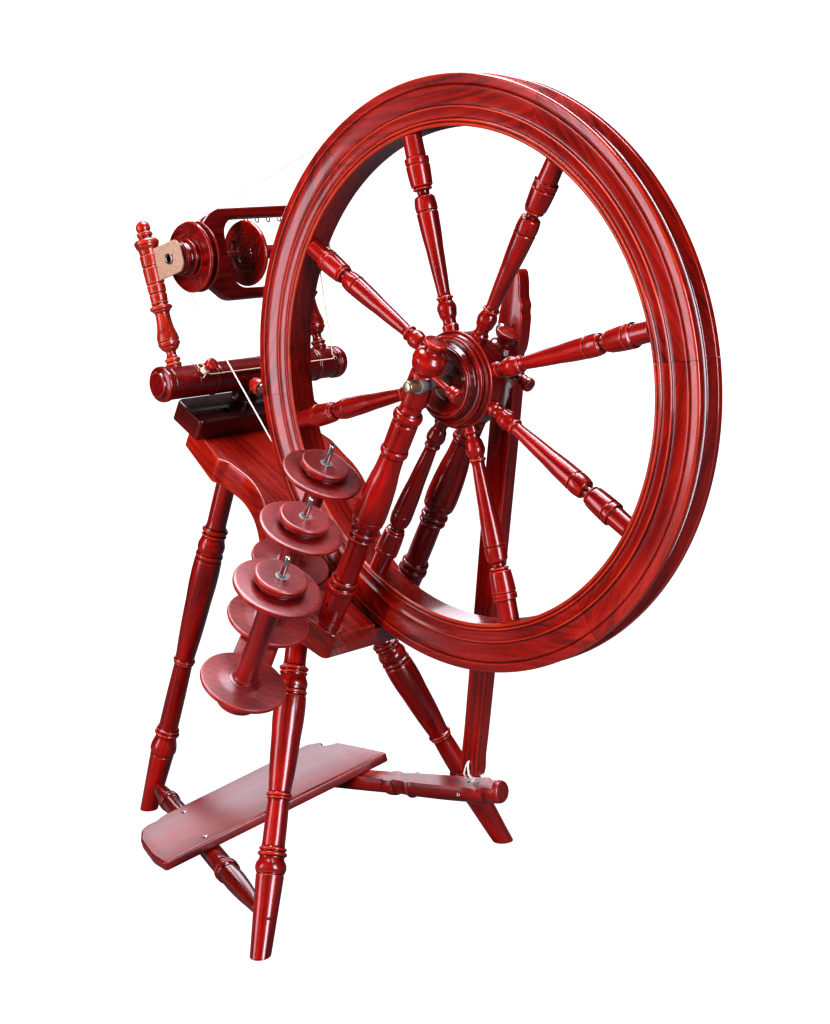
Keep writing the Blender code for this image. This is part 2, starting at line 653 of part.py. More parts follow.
# ---------------------------------------------------------------- lazy kate
kateMat = material("kate_wood", woodDark)
swing = math.radians(kateSwing)
kateDir = down * math.sin(swing) - Y * math.cos(swing)
kateAcross = down * math.cos(swing) + Y * math.sin(swing)
kateBase = tableTop + gap
armHigh = 20 * mm
kateFirst = onTable(-70.2 * mm, -78 * mm, kateBase + armHigh)
points = []
for k in range(9):
    a = math.pi * (0.5 + k / 8)
    points.append((math.cos(a) * 14 * mm - 12 * mm, math.sin(a) * 20 * mm))
for k in range(9):
    a = math.pi * (-0.5 + k / 8)
    points.append((kateSpacing * 2 + math.cos(a) * 23 * mm, math.sin(a) * 21 * mm))
kateArm = slab("kate_arm", points, kateFirst - square * armHigh, kateDir, kateAcross, square * armHigh, kateMat)
for i in range(3):
    at = kateFirst + kateDir * kateSpacing * i
    rodLength = kateBobbinLength + 35 * mm
    turned("kate_rod_%d" % (i + 1), [(0, 3.2 * mm), (rodLength, 3.2 * mm), (rodLength + 2 * mm, 2.2 * mm)],
           at + square * gap, square, steel, 12)
    bobbin("kate_bobbin_%d" % (i + 1), at + square * gap * 2, square, kateBobbinLength, kateBobbinRadius, 3.2 * mm + gap,
           at.copy(), 26 * mm, 11 * mm, 12.7 * mm)

# ---------------------------------------------------------------- treadle
pivotZ = floorZ + pivotHeight


def legPoint(foot, lean, z):
    return foot + lean * ((z - foot.z) / lean.z)


pivotA = legPoint(legAFoot, legATop, pivotZ)
pivotB = legPoint(legBFoot, legBTop, pivotZ)
along = (pivotB - pivotA).normalized()
level = Z.cross(along)
if level.x < 0:
    level = -level
rock = math.radians(treadleTilt)
forward = level * math.cos(rock) + Z * math.sin(rock)
upward = Z * math.cos(rock) - level * math.sin(rock)
pivotMid = (pivotA + pivotB) * 0.5
reachA = 18 * mm           # the bar stops clear of the legs, its pins run on into them
reachB = 23 * mm
pinStop = 6 * mm           # end of a pin to the leg's axis
pinRadius = 4 * mm
span = (pivotB - pivotA).length - reachA - reachB
treadleMat = material("treadle_wood", woodDark)
pivotProfile = [(0.0, 6.5), (0.12, 11.0), (0.125, 13.0), (0.15, 13.0), (0.155, 12.0), (0.25, 12.6), (0.66, 12.6),
                (0.70, 12.6), (0.715, 14.6), (0.745, 14.0), (0.95, 8.0), (1.0, 6.5)]
pivotStart = pivotA + along * reachA
profile = [(pinStop - reachA, pinRadius), (0, pinRadius)] + [(span * f, r * mm) for f, r in pivotProfile]
profile += [(span, pinRadius), (span + reachB - pinStop, pinRadius)]
turned("treadle_pivot", profile, pivotStart, along, treadleMat, 12, origin=pivotMid.copy())


def pivotSocket(bm):
    rod(bm, pivotA + along * (pinStop - gap), pivotA + along * 40 * mm, pinRadius + gap, 16)


def pivotSocketFar(bm):
    rod(bm, pivotB - along * (pinStop - gap), pivotB - along * 40 * mm, pinRadius + gap, 16)


cut(legA, "cutter_leg_a", pivotSocket)
cut(legB, "cutter_leg_b", pivotSocketFar)
boardRise = 12.6 * mm + gap


def onTreadle(a, b, c):
    return pivotA + along * a + forward * b + upward * c


boardPoints = [(303, -60), (262, 238), (172, 206), (160, 190), (150, 192), (139, 176), (170, -18), (180, -50), (188, -58),
               (215, -66), (270, -66)]
stretch = (pivotB - pivotA).length / 0.4806
boardPoints = [(a * mm * stretch, b * mm) for a, b in boardPoints]
slab("treadle_board", boardPoints, pivotA + upward * boardRise, along, forward, upward * boardThick, treadleMat,
     origin=pivotMid.copy())
screwMat = material("screw_steel", steelGrey, 0.3, 1.0)
for i, a in enumerate((188 * mm * stretch, 282 * mm * stretch)):
    turned("board_screw_%d" % (i + 1), [(0, 3.6 * mm), (1.0 * mm, 3.4 * mm), (1.4 * mm, 2.4 * mm)],
           onTreadle(a, -3 * mm, boardRise + boardThick + gap), upward, screwMat, 10, origin=pivotMid.copy())

# the lever bar hangs under the board and runs out to the footman
leverRadius = 15.5 * mm
leverDrop = boardRise - gap - 9 * mm
leverStart = onTreadle(150 * mm * stretch, 138 * mm, leverDrop)
leverEnd = onTreadle(447 * mm * stretch, 303 * mm, leverDrop)
leverDir = (leverEnd - leverStart).normalized()
leverLength = (leverEnd - leverStart).length
leverProfile = [(0.0, 11.0), (0.50, 13.0), (0.505, 14.0), (0.54, 14.0), (0.545, 12.6), (0.60, 13.6), (0.61, 15.5),
                (0.63, 13.8), (0.86, 14.6), (0.91, 17.3), (0.935, 14.8), (0.96, 12.6), (1.0, 12.4)]
lever = turned("treadle_lever", [(leverLength * f, r * mm) for f, r in leverProfile], leverStart, leverDir, treadleMat, 12,
               origin=pivotMid.copy(), side=upward)


def planed(bm):
    low = leverStart - leverDir * 20 * mm + upward * 9 * mm
    out = leverDir.cross(upward)
    corners = []
    for i in (0, 1):
        for j in (-1, 1):
            for k in (0, 1):
                corners.append(bm.verts.new(low + leverDir * (leverLength + 40 * mm) * i + out * j * 30 * mm
                                            + upward * 30 * mm * k))
    for ids in ((0, 1, 3, 2), (4, 5, 7, 6), (0, 1, 5, 4), (2, 3, 7, 6), (0, 2, 6, 4), (1, 3, 7, 5)):
        bm.faces.new([corners[i] for i in ids])


cut(lever, "cutter_lever", planed)
sideOut = leverDir.cross(upward)
if sideOut.y > 0:
    sideOut = -sideOut
turned("lever_screw", [(0, 2.6 * mm), (1.2 * mm, 2.2 * mm)],
       leverStart + leverDir * leverLength * 0.84 + sideOut * (14.6 * mm + gap), sideOut, screwMat, 10,
       origin=pivotMid.copy())

# ---------------------------------------------------------------- footman
tieAt = leverStart + leverDir * leverLength * 0.883 + upward * (9 * mm + gap)
footBottom = tieAt + Z * 11 * mm
footTop = Vector((pinX, 0, pinZ))
footY = footmanY
bar = Vector((footTop.x - footBottom.x, 0, footTop.z - footBottom.z))
barLength = bar.length
barUp = bar.normalized()
barSide = Vector((barUp.z, 0, -barUp.x))
footBase = Vector((footBottom.x, footY, footBottom.z))
footOutline = [(0, -11), (0, 11), (0.30, 13.5), (0.80, 15), (0.93, 14), (0.945, 11.5), (0.965, 15.5), (1.03, 16.5),
               (1.035, 14), (1.05, 16), (1.065, 11), (1.12, 6.5), (1.125, -3), (1.09, -7), (1.04, -15), (0.97, -16.5),
               (0.80, -15.5), (0.30, -13)]
footPoints = [(f * barLength, w * mm) for f, w in footOutline]
footMat = material("footman_wood", woodDark)
footThick = 17 * mm
footman = slab("footman", footPoints, footBase, barUp, barSide, Y * footThick, footMat,
               origin=Vector((footTop.x, footY, footTop.z)))


def pinHole(bm):
    at = Vector((pinX, 0, pinZ))
    rod(bm, at + Y * (footY - 10 * mm), at + Y * (footY + 40 * mm), 5.6 * mm, 14)


cut(footman, "cutter_footman", pinHole)
tieMat = material("tie_leather", (0.72, 0.68, 0.58), 0.7)
tieBase = Vector((tieAt.x, footY + footThick * 0.5, tieAt.z))
tieRadius = 4 * mm
tieFoot = gap + tieRadius * math.tan(rock)      # clears the sloping top of the lever
tieLength = (footBottom - tieAt).length - gap - tieRadius * abs(barSide.z) - tieFoot
turned("footman_tie", [(0, tieRadius), (tieLength - 2.2 * mm, tieRadius), (tieLength, 1.6 * mm)], tieBase + Z * tieFoot, Z,
       tieMat, 12)

# ---------------------------------------------------------------- drive band and brake cord
bandRadius = 1.3 * mm
bandMat = material("band_cotton", (0.86, 0.84, 0.78), 0.9)
bigR = wheelRadius - grooveDepth + bandRadius + gap
smallR = grooveR + bandRadius + gap
hub2 = Vector((0, 0, 0))
small2 = Vector((flyerAxis.x, 0, flyerAxis.z))
span2 = small2 - hub2
base = math.atan2(span2.z, span2.x)
spread = math.acos((bigR - smallR) / span2.length)
points = []
steps = 44
turn = (2 * math.pi - 2 * spread) / steps
outer = bigR / math.cos(turn / 2)       # so the flats of the loop clear the groove's floor
for k in range(steps + 1):
    a = base + spread + turn * k
    points.append(Vector((outer * math.cos(a), 0, outer * math.sin(a))))
lowerEnd = points[-1]
steps = 10
ends = []
for k in range(steps + 1):
    a = base - spread + 2 * spread * k / steps
    ends.append(Vector((small2.x + smallR * math.cos(a), whorlY, small2.z + smallR * math.sin(a))))
runs = 3
lead = [lowerEnd.lerp(ends[0], (k + 1) / (runs + 1)) for k in range(runs)]
back = [ends[-1].lerp(points[0], (k + 1) / (runs + 1)) for k in range(runs)]
tubeLoop("drive_band", points + lead + ends + back, bandRadius, bandMat, flyerAxis.copy(), 4, True, Y)

cordRadius = 0.8 * mm
whorlGroove = 18 * mm + cordRadius + gap
cordY = bobbinBack + 1.4 * mm
hookY = rearMaidenY + 1 * mm
hookTurn = math.radians(17)
hookOut = Vector((math.cos(hookTurn), 0, math.sin(hookTurn)))
hookAt = moaAxis + Y * hookY + hookOut * (moaRadius + 3.4 * mm)
start = moaAxis + Y * (brakeY + 11 * mm) + X * (moaRadius + 1.2 * mm) + Z * 7 * mm
path = [start.lerp(hookAt - Y * 5 * mm, k / 6) for k in range(7)]
arc = []
for k in range(11):
    a = math.radians(180 * k / 10)
    arc.append(Vector((flyerAxis.x + whorlGroove * math.cos(a), cordY, flyerAxis.z + whorlGroove * math.sin(a))))
path += [(hookAt + Z * 3 * mm - Y * 2 * mm).lerp(arc[0], k / 4) for k in range(4)]
path += arc
rearEnd = moaAxis + Y * cordY + Vector((-8 * mm, 0, moaRadius + 2.0 * mm))
path += [arc[-1].lerp(rearEnd, (k + 1) / 3) for k in range(3)]
tubeLoop("brake_cord", path, cordRadius, bandMat, flyerAxis.copy(), 6, False,
         Vector((0.31, 0.43, 0.85)).normalized())
base = moaAxis + Y * hookY + hookOut * (moaRadius + gap)
side = hookOut.cross(Y)
ring = [base, base + hookOut * 1.2 * mm]
for k in range(9):
    a = math.radians(290 * k / 8)
    ring.append(base + hookOut * (4.2 * mm - 2.2 * mm * math.cos(a)) + side * 2.4 * mm * math.sin(a))
tubeLoop("brake_hook", ring, 0.5 * mm, steel, moaAxis.copy(), 6, False, Y)

# ---------------------------------------------------------------- centre on the floor
bpy.context.view_layer.update()
low = np.full(3, 1e9)
high = np.full(3, -1e9)
graph = bpy.context.evaluated_depsgraph_get()
for obj in bpy.data.objects:
    if obj.type != "MESH" or obj.hide_render:
        continue
    mesh = obj.evaluated_get(graph).to_mesh()
    co = np.empty(len(mesh.vertices) * 3)
    mesh.vertices.foreach_get("co", co)
    co = co.reshape(-1, 3) + np.array(obj.location)
    low = np.minimum(low, co.min(axis=0))
    high = np.maximum(high, co.max(axis=0))
shift = Vector((-(low[0] + high[0]) / 2, -(low[1] + high[1]) / 2, -low[2]))
for obj in bpy.data.objects:
    obj.location = Vector(obj.location) + shift
print("shift", tuple(round(c, 6) for c in shift), "size", high - low)
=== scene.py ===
import math
import bmesh
import bpy
import numpy as np
from mathutils import Matrix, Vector
from mathutils.geometry import tessellate_polygon
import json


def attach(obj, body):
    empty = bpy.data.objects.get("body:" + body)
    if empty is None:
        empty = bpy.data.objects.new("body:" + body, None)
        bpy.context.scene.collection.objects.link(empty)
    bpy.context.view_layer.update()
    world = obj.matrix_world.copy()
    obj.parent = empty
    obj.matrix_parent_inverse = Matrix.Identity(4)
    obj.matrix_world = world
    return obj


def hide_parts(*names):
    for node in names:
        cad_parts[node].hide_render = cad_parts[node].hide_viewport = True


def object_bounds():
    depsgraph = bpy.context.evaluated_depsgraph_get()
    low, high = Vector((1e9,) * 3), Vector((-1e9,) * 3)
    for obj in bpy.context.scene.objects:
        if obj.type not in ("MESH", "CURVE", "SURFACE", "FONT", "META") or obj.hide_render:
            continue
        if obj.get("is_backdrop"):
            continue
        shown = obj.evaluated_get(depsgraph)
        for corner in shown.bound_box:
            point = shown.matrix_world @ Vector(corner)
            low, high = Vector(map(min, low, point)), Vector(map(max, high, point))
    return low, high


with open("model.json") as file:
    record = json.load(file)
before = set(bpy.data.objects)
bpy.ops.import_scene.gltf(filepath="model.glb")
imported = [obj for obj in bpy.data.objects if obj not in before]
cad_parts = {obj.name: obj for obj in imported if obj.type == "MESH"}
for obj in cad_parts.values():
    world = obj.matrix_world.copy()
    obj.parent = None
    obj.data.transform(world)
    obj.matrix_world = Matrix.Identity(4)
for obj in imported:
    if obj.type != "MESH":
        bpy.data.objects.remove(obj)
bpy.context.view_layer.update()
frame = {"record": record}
mm = 0.001
scene = bpy.context.scene
joints = {j["name"]: j for j in frame["record"]["behaviour"]["joints"]}
mounts = {m["name"]: m for m in frame["record"]["mounts"]}


def jointPoint(name):
    return np.array(joints[name]["pos_m"], float)


def unit(v):
    v = np.array(v, float)
    return v / np.linalg.norm(v)


wheelCentre = jointPoint("wheel_spin")
flyerCentre = jointPoint("flyer_spin")
slope = math.radians(30)                                    # of the table
down = unit((math.cos(slope), 0, -math.sin(slope)))         # along the table, to the wheel end
square = unit((math.sin(slope), 0, math.cos(slope)))        # square to the table, upwards
back = np.array((0.0, 1.0, 0.0))
upright = np.array((0.0, 0.0, 1.0))
tableTop = -295.8                                           # mm along square from the axle


def at(x, y, z):
    return wheelCentre + np.array((x, y, z)) * mm


def onTable(s, y, n):
    return wheelCentre + (down * s + back * y + square * n) * mm


# camera: wheel centre plus a fixed offset, turned by two angles and a slight roll
camera = {"offset": (1.2308, -1.3073, 0.1925), "turn": 45.107, "drop": 10.344, "roll": -2.381, "lens": 62.6}
turn, drop, roll = (math.radians(camera[k]) for k in ("turn", "drop", "roll"))
right = np.array((math.cos(turn), math.sin(turn), 0))
ahead = np.array((-math.sin(turn) * math.cos(drop), math.cos(turn) * math.cos(drop), -math.sin(drop)))
over = np.cross(right, ahead)
sideways = right * math.cos(roll) + over * math.sin(roll)
over = over * math.cos(roll) - right * math.sin(roll)
cameraData = bpy.data.cameras.new("camera")
cameraData.lens = camera["lens"]
cameraData.sensor_width = 36
cameraData.clip_end = 30
cameraObject = bpy.data.objects.new("camera", cameraData)
place = Matrix.Identity(4)
for row in range(3):
    place[row][0], place[row][1], place[row][2] = sideways[row], over[row], -ahead[row]
    place[row][3] = wheelCentre[row] + camera["offset"][row]
cameraObject.matrix_world = place
scene.collection.objects.link(cameraObject)
scene.camera = cameraObject
print("camera set")



def lineOf(steps, coarse=3.0, bend=0.16, soften=2):
    # a turner's steps (to mm, radius mm, how, size) as a line of (along, radius) points, closest at its bends
    parts = [np.array([[steps[0][0], steps[0][1]]], float)]
    s0, r0 = steps[0][:2]
    for step in steps[1:]:
        s1, r1 = step[:2]
        how = step[2] if len(step) > 2 else "line"
        size = step[3] if len(step) > 3 else 0.0
        n = max(3, int((math.hypot(s1 - s0, r1 - r0) + 2 * abs(size)) / 0.2))
        t = np.linspace(0, 1, n + 1)[1:]
        s, r = s0 + (s1 - s0) * t, r0 + (r1 - r0) * t
        if how == "ease":                       # S-shaped
            r = r0 + (r1 - r0) * t * t * (3 - 2 * t)
        elif how == "bead":                     # half round standing size proud, a cove if negative
            s = (s0 + s1) / 2 - (s1 - s0) / 2 * np.cos(np.pi * t)
            r = r0 + (r1 - r0) * (s - s0) / (s1 - s0 if s1 != s0 else 1) + size * np.sin(np.pi * t)
        elif how == "belly":                    # long swelling, size at its middle
            r = r + size * np.sin(np.pi * t)
        elif how == "out":                      # quarter round, leaves along the axis
            s, r = s0 + (s1 - s0) * np.sin(np.pi / 2 * t), r1 + (r0 - r1) * np.cos(np.pi / 2 * t)
        elif how == "in":                       # quarter round, arrives along the axis
            s, r = s0 + (s1 - s0) * (1 - np.cos(np.pi / 2 * t)), r0 + (r1 - r0) * np.sin(np.pi / 2 * t)
        parts.append(np.stack([s, r], 1))
        s0, r0 = s1, r1
    return spaced(np.concatenate(parts), coarse, bend, soften)


def spaced(line, coarse, bend, soften):
    # evens a line out, rounds its corners, then keeps a point each coarse mm and each bend radians of turning
    run = np.concatenate([[0], np.cumsum(np.hypot(*np.diff(line, axis=0).T))])
    even = np.linspace(0, run[-1], max(8, int(run[-1] / 0.25)))
    fine = np.stack([np.interp(even, run, line[:, 0]), np.interp(even, run, line[:, 1])], 1)
    for _ in range(soften):
        fine[1:-1] = 0.25 * fine[:-2] + 0.5 * fine[1:-1] + 0.25 * fine[2:]
    step = np.diff(fine, axis=0)
    heading = np.unwrap(np.arctan2(step[:, 1], step[:, 0]))
    turned = np.abs(np.concatenate([[0], np.diff(heading)]))
    weight = np.hypot(*step.T) / coarse + turned / bend
    total = np.concatenate([[0], np.cumsum(weight)])
    want = np.linspace(0, total[-1], max(4, int(total[-1]) + 1))
    return np.stack([np.interp(want, total, fine[:, 0]), np.interp(want, total, fine[:, 1])], 1)


def axes(direction, hint=None):
    w = unit(direction)
    h = unit(hint) if hint is not None else (back if abs(w @ back) < 0.9 else np.array((1.0, 0, 0)))
    u = unit(h - w * (h @ w))
    return u, np.cross(w, u), w


def gridFaces(rows, columns, loopRows=False, loopColumns=True):
    # quads between neighbouring rows and columns of a grid of points
    i = np.arange(rows if loopRows else rows - 1)[:, None]
    j = np.arange(columns if loopColumns else columns - 1)[None, :]
    a, b = i * columns + j, i * columns + (j + 1) % columns
    c, d = ((i + 1) % rows) * columns + (j + 1) % columns, ((i + 1) % rows) * columns + j
    return np.stack([a, b, c, d], -1).reshape(-1, 4)


def latheGrid(line, base, axis, segments=56, cutLow=None, cutHigh=None, bored=False, reach=14):
    # point = base + axis * along + (u cos a + v sin a) * radius; an end can be sheared onto a plane
    u, v, w = axes(axis)
    a = np.linspace(0, 2 * np.pi, segments, endpoint=False)
    ring = np.outer(np.cos(a), u) + np.outer(np.sin(a), v)
    s, r = line[:, 0] * mm, line[:, 1] * mm
    points = base + s[:, None, None] * w + r[:, None, None] * ring[None]
    for cut, gone in ((cutLow, s - s.min()), (cutHigh, s.max() - s)):
        if cut is not None:
            share = np.clip(1 - gone / (reach * mm), 0, 1)
            slide = (r[:, None] * (ring @ cut)[None]) / (w @ cut)
            points = points - (share[:, None] * slide)[:, :, None] * w
    return points.reshape(-1, 3), gridFaces(len(line), segments, loopRows=bored)


def tubeGrid(path, radius, sides=12, loop=False, flat=None, twist=0.0, lobes=0, depth=0.0, capped=True):
    # circles square to a path; lobes and twist (turns per metre) give the strands of a laid cord
    path = np.asarray(path, float)
    way = np.roll(path, -1, 0) - np.roll(path, 1, 0)
    if not loop:
        way[0], way[-1] = path[1] - path[0], path[-1] - path[-2]
    t = way / np.linalg.norm(way, axis=1)[:, None]
    f = np.tile(unit(flat), (len(path), 1)) if flat is not None else steadyNormals(t)
    u = f - t * np.sum(f * t, 1)[:, None]
    u /= np.linalg.norm(u, axis=1)[:, None]
    v = np.cross(t, u)
    gone = np.concatenate([[0], np.cumsum(np.linalg.norm(np.diff(path, axis=0), axis=1))])
    a = np.linspace(0, 2 * np.pi, sides, endpoint=False)
    r = np.broadcast_to(np.asarray(radius, float), (len(path),))[:, None] * np.ones((1, sides))
    if lobes:
        phase = a[None] - 2 * np.pi * twist * gone[:, None]
        r = r * (1 - depth + depth * np.abs(np.cos(lobes / 2 * phase)) * 2 - depth)
    ring = u[:, None] * np.cos(a)[None, :, None] + v[:, None] * np.sin(a)[None, :, None]
    points = path[:, None] + ring * r[:, :, None]
    points = points.reshape(-1, 3)
    faces = gridFaces(len(path), sides, loopRows=loop).tolist()
    if not loop and capped:
        faces += [list(range(sides)), list(range(len(points) - sides, len(points)))]
    return points, faces


def steadyNormals(t):
    # carries one side direction along the path so that it never spins
    out = np.empty_like(t)
    seed = np.array((0.0, 0.0, 1.0)) if abs(t[0, 2]) < 0.9 else np.array((1.0, 0, 0))
    for i, d in enumerate(t):
        seed = unit(seed - d * (seed @ d))
        out[i] = seed
    return out


def smoothLoop(corners, spacing=1.5, rounds=4):
    # a closed outline through straight runs and corners, (x, y) mm, evened out and softened by averaging
    c = np.asarray(corners, float)
    ends = np.roll(c, -1, 0)
    n = np.maximum(2, (np.hypot(*(ends - c).T) / spacing).astype(int))
    dense = np.concatenate([a + (b - a) * np.linspace(0, 1, k, endpoint=False)[:, None]
                            for a, b, k in zip(c, ends, n)])
    for _ in range(rounds):
        dense = 0.25 * np.roll(dense, 1, 0) + 0.5 * dense + 0.25 * np.roll(dense, -1, 0)
    return dense


def arcPoints(centre, radius, start, end, count):
    a = np.radians(np.linspace(start, end, count))
    return [(centre[0] + radius * math.cos(x), centre[1] + radius * math.sin(x)) for x in a]


def slabGrid(loop, origin, along, across, high, thick, soft=2.0, softLow=None, dish=0.0):
    # rings of the outline, drawn in by a quarter circle of radius soft at the top and the bottom edge
    area = np.sum(loop[:, 0] * np.roll(loop[:, 1], -1) - np.roll(loop[:, 0], -1) * loop[:, 1])
    if area < 0:
        loop = loop[::-1]
    tangent = np.roll(loop, -1, 0) - np.roll(loop, 1, 0)
    tangent /= np.linalg.norm(tangent, axis=1)[:, None]
    outward = np.stack([tangent[:, 1], -tangent[:, 0]], 1)
    softLow = soft if softLow is None else softLow
    a = np.radians(np.linspace(0, 90, 6))
    drawn = np.concatenate([softLow * (1 - np.sin(a)), soft * (1 - np.cos(a))])
    height = np.concatenate([softLow * (1 - np.cos(a)), thick - soft * (1 - np.sin(a))])
    flat = loop[None] - outward[None] * drawn[:, None, None]
    points = (origin + (flat[..., 0, None] * along + flat[..., 1, None] * across) * mm
              + (height[:, None, None] * mm) * high).reshape(-1, 3)
    n = len(loop)
    faces = gridFaces(len(drawn), n).tolist()
    for first in (0, len(points) - n):
        ring = flat[0 if first == 0 else -1]
        cap = tessellate_polygon([[(x, y, 0) for x, y in ring.tolist()]])
        faces += [[first + k for k in triangle] for triangle in cap]
    return points, faces


pieceCount = 0


def solid(name, points, faces, body, material, grainAt=None, grainAlong=None, replaces=(), sharp=32,
          carve=()):
    # makes the mesh, merges doubles, turns faces outwards, cuts it, and stores its grain and its arrises
    global pieceCount
    pieceCount += 1
    mesh = bpy.data.meshes.new(name)
    mesh.from_pydata(np.asarray(points).tolist(), [], faces.tolist() if hasattr(faces, "tolist") else faces)
    bm = bmesh.new()
    bm.from_mesh(mesh)
    bmesh.ops.remove_doubles(bm, verts=bm.verts, dist=2e-6)
    bmesh.ops.dissolve_degenerate(bm, edges=bm.edges, dist=1e-6)
    bmesh.ops.recalc_face_normals(bm, faces=bm.faces)
    bm.to_mesh(mesh)
    bm.free()
    obj = bpy.data.objects.new(name, mesh)
    scene.collection.objects.link(obj)
    for cutter in carve:
        mod = obj.modifiers.new("cut", "BOOLEAN")
        mod.operation, mod.solver, mod.object = "DIFFERENCE", "EXACT", cutter
    if carve:
        graph = bpy.context.evaluated_depsgraph_get()
        carved = bpy.data.meshes.new_from_object(obj.evaluated_get(graph))
        obj.modifiers.clear()
        obj.data = mesh = carved
    mesh.name = name
    mesh.shade_smooth()
    mesh.set_sharp_from_angle(angle=math.radians(sharp))
    mesh.materials.clear()
    mesh.materials.append(material)
    grainAndArris(mesh, points[0] if grainAt is None else grainAt, grainAlong, pieceCount)
    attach(obj, body)
    if replaces:
        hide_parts(*((replaces,) if isinstance(replaces, str) else replaces))
    return obj


def grainAndArris(mesh, origin, along, number):
    # "grain" = place in the plank, x along it; "arris" = how sharply the surface bends out (+) or in (-)
    n = len(mesh.vertices)
    co = np.empty(n * 3, np.float32)
    mesh.vertices.foreach_get("co", co)
    co = co.reshape(-1, 3)
    u, v, w = axes(along if along is not None else (1, 0, 0))
    shift = np.array((0.31, 0.043, 0.037)) * number
    placed = (co - np.asarray(origin)) @ np.stack([w, u, v], 1) + shift
    grain = mesh.attributes.new("grain", "FLOAT_VECTOR", "POINT")
    grain.data.foreach_set("vector", placed.astype(np.float32).ravel())
    edges = np.empty(len(mesh.edges) * 2, np.int32)
    mesh.edges.foreach_get("vertices", edges)
    edges = edges.reshape(-1, 2)
    normals = np.empty(n * 3, np.float32)
    mesh.vertex_normals.foreach_get("vector", normals)
    normals = normals.reshape(-1, 3)
    gap = co[edges[:, 1]] - co[edges[:, 0]]
    size = np.maximum(np.linalg.norm(gap, axis=1), 1e-5)
    bend0 = -np.sum(gap * normals[edges[:, 0]], 1) / size ** 2
    bend1 = np.sum(gap * normals[edges[:, 1]], 1) / size ** 2
    w0 = 1 / size
    total = np.bincount(edges[:, 0], w0, n) + np.bincount(edges[:, 1], w0, n)
    bend = np.bincount(edges[:, 0], bend0 * w0, n) + np.bincount(edges[:, 1], bend1 * w0, n)
    bend = np.tanh(bend / np.maximum(total, 1e-9) / 320)
    for _ in range(3):
        mean = (np.bincount(edges[:, 0], bend[edges[:, 1]], n) + np.bincount(edges[:, 1], bend[edges[:, 0]],
                                                                             n))
        count = np.bincount(edges[:, 0], minlength=n) + np.bincount(edges[:, 1], minlength=n)
        bend = 0.5 * bend + 0.5 * mean / np.maximum(count, 1)
    mesh.attributes.new("arris", "FLOAT", "POINT").data.foreach_set("value", bend.astype(np.float32))


def cutterRod(start, end, radius, segments=40):
    # a plain rod used only to cut with, removed afterwards
    long = np.linalg.norm(end - start) / mm
    line = np.array([(0, 0), (0, radius), (long, radius), (long, 0)])
    points, faces = latheGrid(line, start, end - start, segments)
    mesh = bpy.data.meshes.new("cutter")
    mesh.from_pydata(points.tolist(), [], faces.tolist())
    bm = bmesh.new()
    bm.from_mesh(mesh)
    bmesh.ops.remove_doubles(bm, verts=bm.verts, dist=1e-6)
    bmesh.ops.recalc_face_normals(bm, faces=bm.faces)
    bm.to_mesh(mesh)
    bm.free()
    obj = bpy.data.objects.new("cutter", mesh)
    scene.collection.objects.link(obj)
    cutters.append(obj)
    return obj


def cutterBox(centre, u, v, w, sizes):
    # a plain box to cut with, half sizes along u, v and w in mm
    corner = np.array([(i, j, k) for i in (-1, 1) for j in (-1, 1) for k in (-1, 1)]) * np.array(sizes) * mm
    points = centre + corner @ np.stack([u, v, w])
    faces = [(0, 1, 3, 2), (4, 6, 7, 5), (0, 4, 5, 1), (2, 3, 7, 6), (0, 2, 6, 4), (1, 5, 7, 3)]
    mesh = bpy.data.meshes.new("cutter")
    mesh.from_pydata(points.tolist(), [], faces)
    bm = bmesh.new()
    bm.from_mesh(mesh)
    bmesh.ops.recalc_face_normals(bm, faces=bm.faces)
    bm.to_mesh(mesh)
    bm.free()
    obj = bpy.data.objects.new("cutter", mesh)
    scene.collection.objects.link(obj)
    cutters.append(obj)
    return obj


cutters = []



def socket(group, name, kind, default=None, side="INPUT"):
    s = group.interface.new_socket(name=name, in_out=side, socket_type=kind)
    if default is not None:
        s.default_value = default


